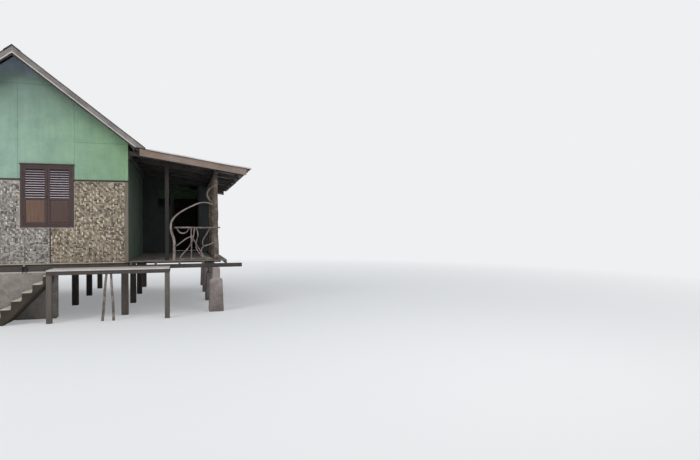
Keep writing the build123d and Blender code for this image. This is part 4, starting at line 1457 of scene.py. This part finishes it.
@dataclass
class Windows:
    """Framed windows, each with two leaves of slats above a sunk panel."""

    frame_width: float = 0.055
    frame_depth: float = 0.075
    proud: float = 0.018
    leaf_width: float = 0.523
    leaf_height: float = 1.402
    thick: float = 0.035
    stile: float = 0.055
    rail: float = 0.601
    slats: int = 12
    slat_width: float = 0.060
    slat_thickness: float = 0.008
    slat_tilt: float = 69.0
    knob_levels: tuple[float, float] = (0.64, 0.70)
    hinge_levels: Sequence[float] = (0.16, 1.20)
    leaf_gap: float = 0.002

    def louvre(self) -> Piece:
        """The slats of one leaf."""
        s, width, thin = self.stile, self.slat_width / 2, self.slat_thickness / 2
        foot = self.rail + s
        pitch = (self.leaf_height - s - foot) / self.slats
        slats = []
        for i in range(self.slats):
            slat = box("slat", (s - 0.004, -width, -thin),
                       (self.leaf_width - s + 0.004, width, thin))
            settle(slat, (0, self.thick / 2, foot + pitch * (i + 0.5)), (self.slat_tilt, 0, 0))
            slats.append(slat)
        return join("leaf_louvre", slats)

    def leaf(self, panel_finish: Finish) -> Piece:
        """One leaf, its lower left corner at the origin, facing -Y.

        Args:
            panel_finish: Finish of its lower panel.

        Returns:
            The dressed leaf.
        """
        width, height, thick, s = self.leaf_width, self.leaf_height, self.thick, self.stile
        upright = join("leaf_upright", [box("stile", (x, 0, 0), (x + s, thick, height))
                                        for x in (0, width - s)])
        lying = join("leaf_lying", [box("rail", (s, 0.001, z), (width - s, thick - 0.001, z + s))
                                    for z in (0, self.rail, height - s)])
        panel = box("panel", (s, 0.014, s), (width - s, 0.028, self.rail))
        with editing(panel, faces=lambda centre, normal: normal.y < -0.9):
            bpy.ops.mesh.inset(thickness=0.03)
            bpy.ops.transform.translate(value=(0, -0.007, 0))
        louvre = self.louvre()
        low, high = self.knob_levels
        knob = box("knob", (width - 0.034, -0.010, low), (width - 0.020, 0.002, high))
        hinges = []
        for z in self.hinge_levels:
            hinges += [box("hinge", (-0.003, -0.004, z), (0.030, 0.002, z + 0.07)),
                       box("pin", (-0.006, -0.008, z - 0.004), (0.004, 0.002, z + 0.074))]
        irons = join("hinges", hinges)
        parts = ((upright, 0.0025, 2, JOINERY[Axis.Z]), (lying, 0.0025, 2, JOINERY[Axis.X]),
                 (louvre, 0.0025, 2, SLATS[Axis.X]), (panel, 0.0025, 2, panel_finish),
                 (knob, 0.002, 1, DARK[Axis.Z]), (irons, 0.0015, 1, DARK[Axis.Z]))
        for piece, ease, segments, finish in parts:
            chamfer(piece, ease, segments)
            dress(piece, finish)
        return join("leaf", [part[0] for part in parts])

    def jambs(self) -> Piece:
        """One window frame centred on X with its sill at the origin, facing -Y."""
        half, height = WINDOW_WIDTH / 2, WINDOW_HEAD - SILL
        w, deep, inner = self.frame_width, self.frame_depth, half - self.frame_width
        upright = join("frame_upright", [box("jamb", (-half, 0, 0), (-inner, deep, height)),
                                         box("jamb", (inner, 0, 0), (half, deep, height))])
        lying = join("frame_lying", [
            box("sill", (-inner, 0, 0), (inner, deep, w)),
            box("head", (-inner, 0, height - w), (inner, deep, height)),
            box("drip", (-half - 0.02, -0.022, height), (half + 0.02, 0.016, height + 0.018))])
        for piece, axis in ((upright, Axis.Z), (lying, Axis.X)):
            chamfer(piece, 0.003, 2)
            dress(piece, JOINERY[axis])
        return join("window_frame", [upright, lying])

    def build(self) -> None:
        """Set a frame and two leaves in every window, and line the doorway."""
        originals = [self.jambs(), self.leaf(PANEL_WARM), self.leaf(PANEL_DULL)]
        mirror(originals[2])
        for leaf, side in zip(originals[1:], (-1, 1)):
            settle(leaf, (side * (self.leaf_width + self.leaf_gap), 0.004, 0.059))
        places = [((x, FRONT_FACE - self.proud, SILL), 0) for x in GABLE_WINDOWS]
        places += [((x, BACK_FACE + self.proud, SILL), 180) for x in GABLE_WINDOWS]
        places += [((-HALF_WIDTH - self.proud, y, SILL), -90) for y in LEFT_WINDOWS]
        copies = [[twin(piece, place, (0, 0, turn)) for piece in originals]
                  for place, turn in places]
        for piece in originals:
            bpy.data.objects.remove(piece)
        frames = [trio[0] for trio in copies]
        leaves = [leaf for trio in copies for leaf in trio[1:]]
        hand_in(join("window_frames_joined", frames), "brown_joinery", "window_frames")
        hand_in(join("shutter_leaves", leaves), "brown_joinery", "shutters")
        complete(copy_of("door_lining", "door_lining_planed"), 0.003, RED[Axis.Z],
                 "brown_joinery", "door_lining")


@dataclass
class Planks:
    """Boards of a floor, laid side by side along X with narrow gaps."""

    name: str
    node: str
    low: Point
    high: Point
    count: int
    finish: dict[Axis, Wood]
    gap: float = 0.006
    slip: float = 0.012
    seed: int = 3

    def build(self) -> None:
        """Lay the boards."""
        rng = random.Random(self.seed)
        pitch = (self.high[1] - self.low[1]) / self.count
        boards = []
        for i in range(self.count):
            y = self.low[1] + pitch * i + self.gap / 2
            left, right, top = (rng.uniform(0, most) for most in (self.slip, self.slip, 0.003))
            boards.append(box("board", (self.low[0] + left, y, self.low[2]),
                              (self.high[0] - right, y + pitch - self.gap, self.high[2] - top)))
        complete(join(self.name, boards), 0.004, self.finish[Axis.X], "deck_boards", self.node,
                 segments=2)


@dataclass
class Verandah:
    """Branch railings, the bent branch, the trunk and the side posts."""

    rail_left: float = 3.58
    rail_top: float = 2.19
    foot_rail: float = 1.37
    beam: float = 3.62
    bays: Sequence[float] = (0.0, END_WALL / 3, END_WALL * 2 / 3, 5.143)
    sticks: Sequence[Sequence[tuple[float, float]]] = (
        ((0.02, 1.00), (0.05, 0.88), (0.15, 0.81), (0.25, 0.84), (0.31, 0.93), (0.32, 1.00)),
        ((0.38, 1.00), (0.37, 0.70), (0.39, 0.36), (0.37, 0.00)),
        ((0.46, 1.00), (0.44, 0.70), (0.36, 0.46), (0.24, 0.26), (0.12, 0.12), (0.08, 0.00)),
        ((0.50, 1.00), (0.56, 0.80), (0.52, 0.64), (0.49, 0.46), (0.50, 0.32), (0.60, 0.15),
         (0.70, 0.00)),
        ((0.00, 0.42), (0.14, 0.55), (0.28, 0.68), (0.41, 0.74)),
        ((0.86, 1.00), (0.77, 0.80), (0.68, 0.64), (0.65, 0.52), (0.68, 0.40)),
        ((0.98, 0.53), (0.81, 0.45), (0.67, 0.40), (0.62, 0.28), (0.65, 0.13), (0.73, 0.04),
         (0.88, 0.02)),
        ((0.44, 0.62), (0.55, 0.36), (0.66, 0.16), (0.68, 0.00)),
    )

    def panel(self, place: Callable[[float, float], Point], ends: tuple[float, float],
              seed: int) -> list[Piece]:
        """Rails and crooked sticks of one railing panel.

        Args:
            place: Turns shares of width and height into a point.
            ends: Where the rails begin and end.
            seed: Seed of the small differences between panels.

        Returns:
            The sticks of the panel.
        """
        rng = random.Random(seed)
        a, b = ends
        made = [crooked([place(a, 1.0), place(0.3, 1.01), place(0.65, 0.99), place(b, 1.0)],
                        (0.023, 0.019), BARK),
                crooked([place(a, 0.0), place(0.5, 0.005), place(b, 0.0)], (0.021, 0.019), BARK)]
        for number, route in enumerate(self.sticks):
            radius = 0.018 - 0.0004 * number
            made.append(crooked([place(u, v) for u, v in route],
                                (radius * rng.uniform(0.95, 1.1), radius * 0.85), BARK))
        return made

    def railings(self) -> None:
        """Front panel and the three side panels."""
        level = lambda v: self.foot_rail + v * (self.rail_top - self.foot_rail)
        wide = SIDE_POST_X - self.rail_left
        front = self.panel(lambda u, v: (self.rail_left + u * wide, 0.0, level(v)),
                           (-0.04, 1.11), 1)
        hand_in(join("front_branch_railing", front), "natural_wood", "front_railing")
        sides = []
        for y0, y1 in zip(self.bays, self.bays[1:]):
            sides += self.panel(lambda u, v: (SIDE_POST_X, y0 + u * (y1 - y0), level(v)),
                                (0, 1), round(y1))
        hand_in(join("side_branch_railing", sides), "natural_wood", "side_railing")

    def trunk(self) -> None:
        """Trunk at the corner, with its curled limb."""
        shape = ((0.0, 0, 0.078), (0.06, 4, 0.070), (0.14, 14, 0.064), (0.34, -10, 0.058),
                 (0.53, 8, 0.063), (0.70, -12, 0.057), (0.86, 6, 0.050), (1.0, 0, 0.049))
        fork = ((0, 1450), (-130, 1530), (-215, 1650), (-215, 1780), (-130, 1890), (0, 1960))
        rise = self.beam - DECK
        trunk = crooked([(SIDE_POST_X + sway / 1000, 0, DECK + share * rise)
                         for share, sway, _ in shape], [radius for _, _, radius in shape],
                        TRUNK, 6, 0.12, 0.022, rounder=True)
        limb = crooked([(SIDE_POST_X + dx / 1000, 0, DECK + dz / 1000) for dx, dz in fork],
                       (0.027, 0.022), TRUNK, 4, 0.12, 0.010, rounder=True)
        hand_in(join("trunk_with_limb", [trunk, limb]), "natural_wood", "trunk_post")

    def bent_branch(self) -> None:
        """Branch that springs from the deck beside the entry and bends to the trunk."""
        arch = ((3530, 0), (3530, 250), (3540, 540), (3462, 700), (3440, 900), (3490, 1070),
                (3705, 1260), (3960, 1395), (4170, 1490), (4350, 1510), (4520, 1440))
        radii = (0.036, 0.034, 0.032, 0.032, 0.027, 0.0225, 0.019, 0.017, 0.0155, 0.0145, 0.013)
        bent = crooked([(a / 1000, 0, DECK + b / 1000) for a, b in arch], radii, BARE_BARK, 4,
                       depth=0.012)
        hand_in(join("bent_branch", [bent]), "natural_wood", "branch_arch")

    def posts(self) -> None:
        """Round side posts and the square ones that stay as the CAD has them."""
        x = SIDE_POST_X
        posts = [crooked([(x, y, DECK), (x + 0.012, y - 0.01, DECK + 0.7),
                          (x - 0.01, y + 0.008, DECK + 1.5), (x, y, self.beam)],
                         (0.060, 0.056, 0.054, 0.051), TRUNK, 6, 0.12, 0.014)
                 for y in self.bays[1:3]]
        square = copy_of("verandah_posts", "square_posts")
        remove_faces(square, lambda centre, normal: centre.y < 5.0)
        chamfer(square, 0.004)
        dress(square, RED[Axis.Z])
        hand_in(join("verandah_posts_shaped", posts + [square]), "natural_wood", "verandah_posts")

    def build(self) -> None:
        """Build the verandah's natural timber."""
        self.railings()
        self.trunk()
        self.bent_branch()
        self.posts()


@dataclass
class Masonry:
    """Plinth wall, piers and the stair, all rough plaster over masonry."""

    def build(self) -> None:
        """Turn each CAD block into worn masonry."""
        for node, voxel, unevenness, finish, slot in (
                ("front_plinth", 0.03, 0.008, PLASTER, "plaster"),
                ("verandah_piers", 0.025, 0.010, PIER, "plaster"),
                ("stair_flight", 0.018, 0.014, MASONRY, "stair_masonry")):
            piece = copy_of(node, f"{node}_rendered")
            chamfer(piece, 0.008, 2)
            modifier(piece, "REMESH", mode="VOXEL", voxel_size=voxel)
            roughen(piece, 0.22, unevenness)
            roughen(piece, 0.05, unevenness * 0.5)
            smooth(piece, 50)
            dress(piece, finish)
            hand_in(piece, slot, node)


@dataclass
class Walkway:
    """Posts, slender props and packers under the plank walkway."""

    prop_y: float = -0.8495
    prop_top: float = 1.10
    prop_ends: Sequence[tuple[float, float]] = ((2.18, 2.13), (1.94, 2.03))
    packer_low: float = 1.175
    packer_high: float = 1.1885
    frame_ends: tuple[float, float] = (0.785, 3.425)
    rim_places: tuple[float, float] = (-0.895, -0.130)
    rim_width: float = 0.045
    joist_places: Sequence[float] = tuple(0.795 + 0.655 * i for i in range(5))
    joist_width: float = 0.048

    def build(self) -> None:
        """Build the posts, the two crooked props and the packers."""
        square = copy_of("walkway_posts", "walkway_square_posts")
        remove_faces(square, lambda centre, normal: 1.0 < centre.x < 3.0)
        chamfer(square, 0.006)
        dress(square, ROUGH[Axis.Z])
        y = self.prop_y
        props = [crooked([(foot, y, 0), (foot * 0.7 + head * 0.3 + 0.01, y, 0.4),
                          (foot * 0.3 + head * 0.7 - 0.008, y, 0.8), (head, y, self.prop_top)],
                         (0.031, 0.029, 0.028, 0.027), BARK, 4, 0.08)
                 for foot, head in self.prop_ends]
        hand_in(join("walkway_posts_and_props", [square] + props), "rough_timber",
                "walkway_posts")
        left, right = self.frame_ends
        front, back = self.rim_places
        half = self.joist_width / 2
        corners = [((left, y), (right, y + self.rim_width)) for y in (front, back)]
        corners += [((x - half, front + self.rim_width), (x + half, back))
                    for x in self.joist_places]
        # The dark packers are painted shade in the gap under the walkway planks.
        packers = [box("packer", (*low, self.packer_low), (*high, self.packer_high))
                   for low, high in corners]
        complete(join("walkway_packers", packers), 0.002, BELT_WOOD, "rough_timber")


@dataclass(frozen=True)
class Studio:
    """Camera at the photograph's viewing angle, pale floor and soft light."""

    place: Point = (3.75, -14.657, 2.10)
    yaw: float = 17.19
    pitch: float = 0.04
    roll: float = -0.24
    lens: float = 27.77
    background: tuple[float, float, float, float] = (0.86, 0.87, 0.88, 1.0)
    sky: tuple[float, float, float, float] = (0.80, 0.86, 0.95, 1.0)
    floor: Colour = (240, 240, 238)

    def camera(self) -> None:
        """Create the camera."""
        yaw, pitch, roll = radians(self.yaw), radians(self.pitch), radians(self.roll)
        ahead = Vector((sin(yaw) * cos(pitch), cos(yaw) * cos(pitch), sin(pitch)))
        right = Vector((cos(yaw), -sin(yaw), 0))
        up = right.cross(ahead)
        across = cos(roll) * right + sin(roll) * up
        upward = -sin(roll) * right + cos(roll) * up
        deselect()
        bpy.ops.object.camera_add(location=self.place)
        camera = bpy.context.active_object
        camera.data.lens = self.lens
        camera.data.sensor_width = 36
        camera.data.clip_end = 300
        camera.rotation_euler = Matrix((across, upward, -ahead)).transposed().to_euler()
        bpy.context.scene.camera = camera

    def pale(self) -> bpy.types.Material:
        """Floor that takes shadow near the house and melts into the background far off."""
        made = bpy.data.materials.new("stage_pale")
        board = cleared(made)
        away = board.wire("VectorMath", {0: board.wire("TexCoord", output="Object"),
                                         1: (1.3, 3.4, 0.0)}, "Value", operation="DISTANCE")
        seen = board.wire("LightPath", output="Is Camera Ray") * away.fit(7.0, 24.0, 0.30, 1.0)
        shader = board.wire("BsdfPrincipled", {"Base Color": rgba(self.floor), "Roughness": 0.9})
        glow = board.wire("Emission", {"Color": self.background, "Strength": 1.0})
        both = board.wire("MixShader", {0: seen, 1: shader, 2: glow})
        board.node("OutputMaterial", {"Surface": both})
        return made

    def world(self) -> None:
        """Soft sky light, with the pale background where it is seen directly."""
        world = bpy.data.worlds.new("studio_world")
        bpy.context.scene.world = world
        board = cleared(world)
        path = board.node("LightPath")
        camera, glossy, through = (Wire(board, path.outputs[f"Is {kind} Ray"])
                                   for kind in ("Camera", "Glossy", "Transmission"))
        seen = board.math("MAXIMUM", board.math("MAXIMUM", camera, glossy), through)
        colour = board.mix(seen, self.sky, self.background)
        light = board.wire("Background", {"Color": colour, "Strength": seen.fit(0, 1, 0.55, 1.0)})
        board.node("OutputWorld", {"Surface": light})

    def build(self) -> None:
        """Set the camera, the floor, the lamps and the world."""
        self.camera()
        deselect()
        bpy.ops.mesh.primitive_plane_add(size=160, location=(0, 20, 0))
        bpy.ops.object.transform_apply()
        floor = named("stage_floor")
        floor.data.materials.append(self.pale())
        for place, target, size, power in (
                ((-6.5, -9, 12), (0.5, 0, 2.5), 6.0, 900), ((10, -10, 7), (3, 1, 2), 6.0, 320),
                ((2, 18, 10), (1, 6, 3), 8.0, 420)):
            deselect()
            bpy.ops.object.light_add(type="AREA", location=place)
            lamp = bpy.context.active_object
            lamp.data.energy = power
            lamp.data.size = size
            aim = Vector(target) - Vector(place)
            lamp.rotation_euler = aim.to_track_quat("-Z", "Y").to_euler()
        self.world()


def main() -> None:
    """Build every sub-assembly in order and report it."""
    bpy.context.scene.view_settings.view_transform = "Standard"
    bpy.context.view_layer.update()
    for part in (
            Roof(), Frame(), WallSheets(), WovenWall(), Edging(), Windows(),
            Planks("walkway_planks", "walkway_deck", (0.77, -0.907, 1.188),
                   (3.44, -0.075, 1.22), 6, BLEACHED),
            Planks("verandah_planks", "verandah_deck", (HALF_WIDTH, FRONT_FACE, 1.315),
                   (4.86, BACK_FACE, DECK), 61, DECKING),
            Planks("house_floor_planks", "house_floor", (-2.428, SIDE_FRONT, 1.27),
                   (2.428, SIDE_BACK, FLOOR), 40, FLOORING, gap=0.003, slip=0.002),
            Verandah(), Masonry(), Walkway(), Studio()):
        part.build()


if __name__ == "__main__":
    main()
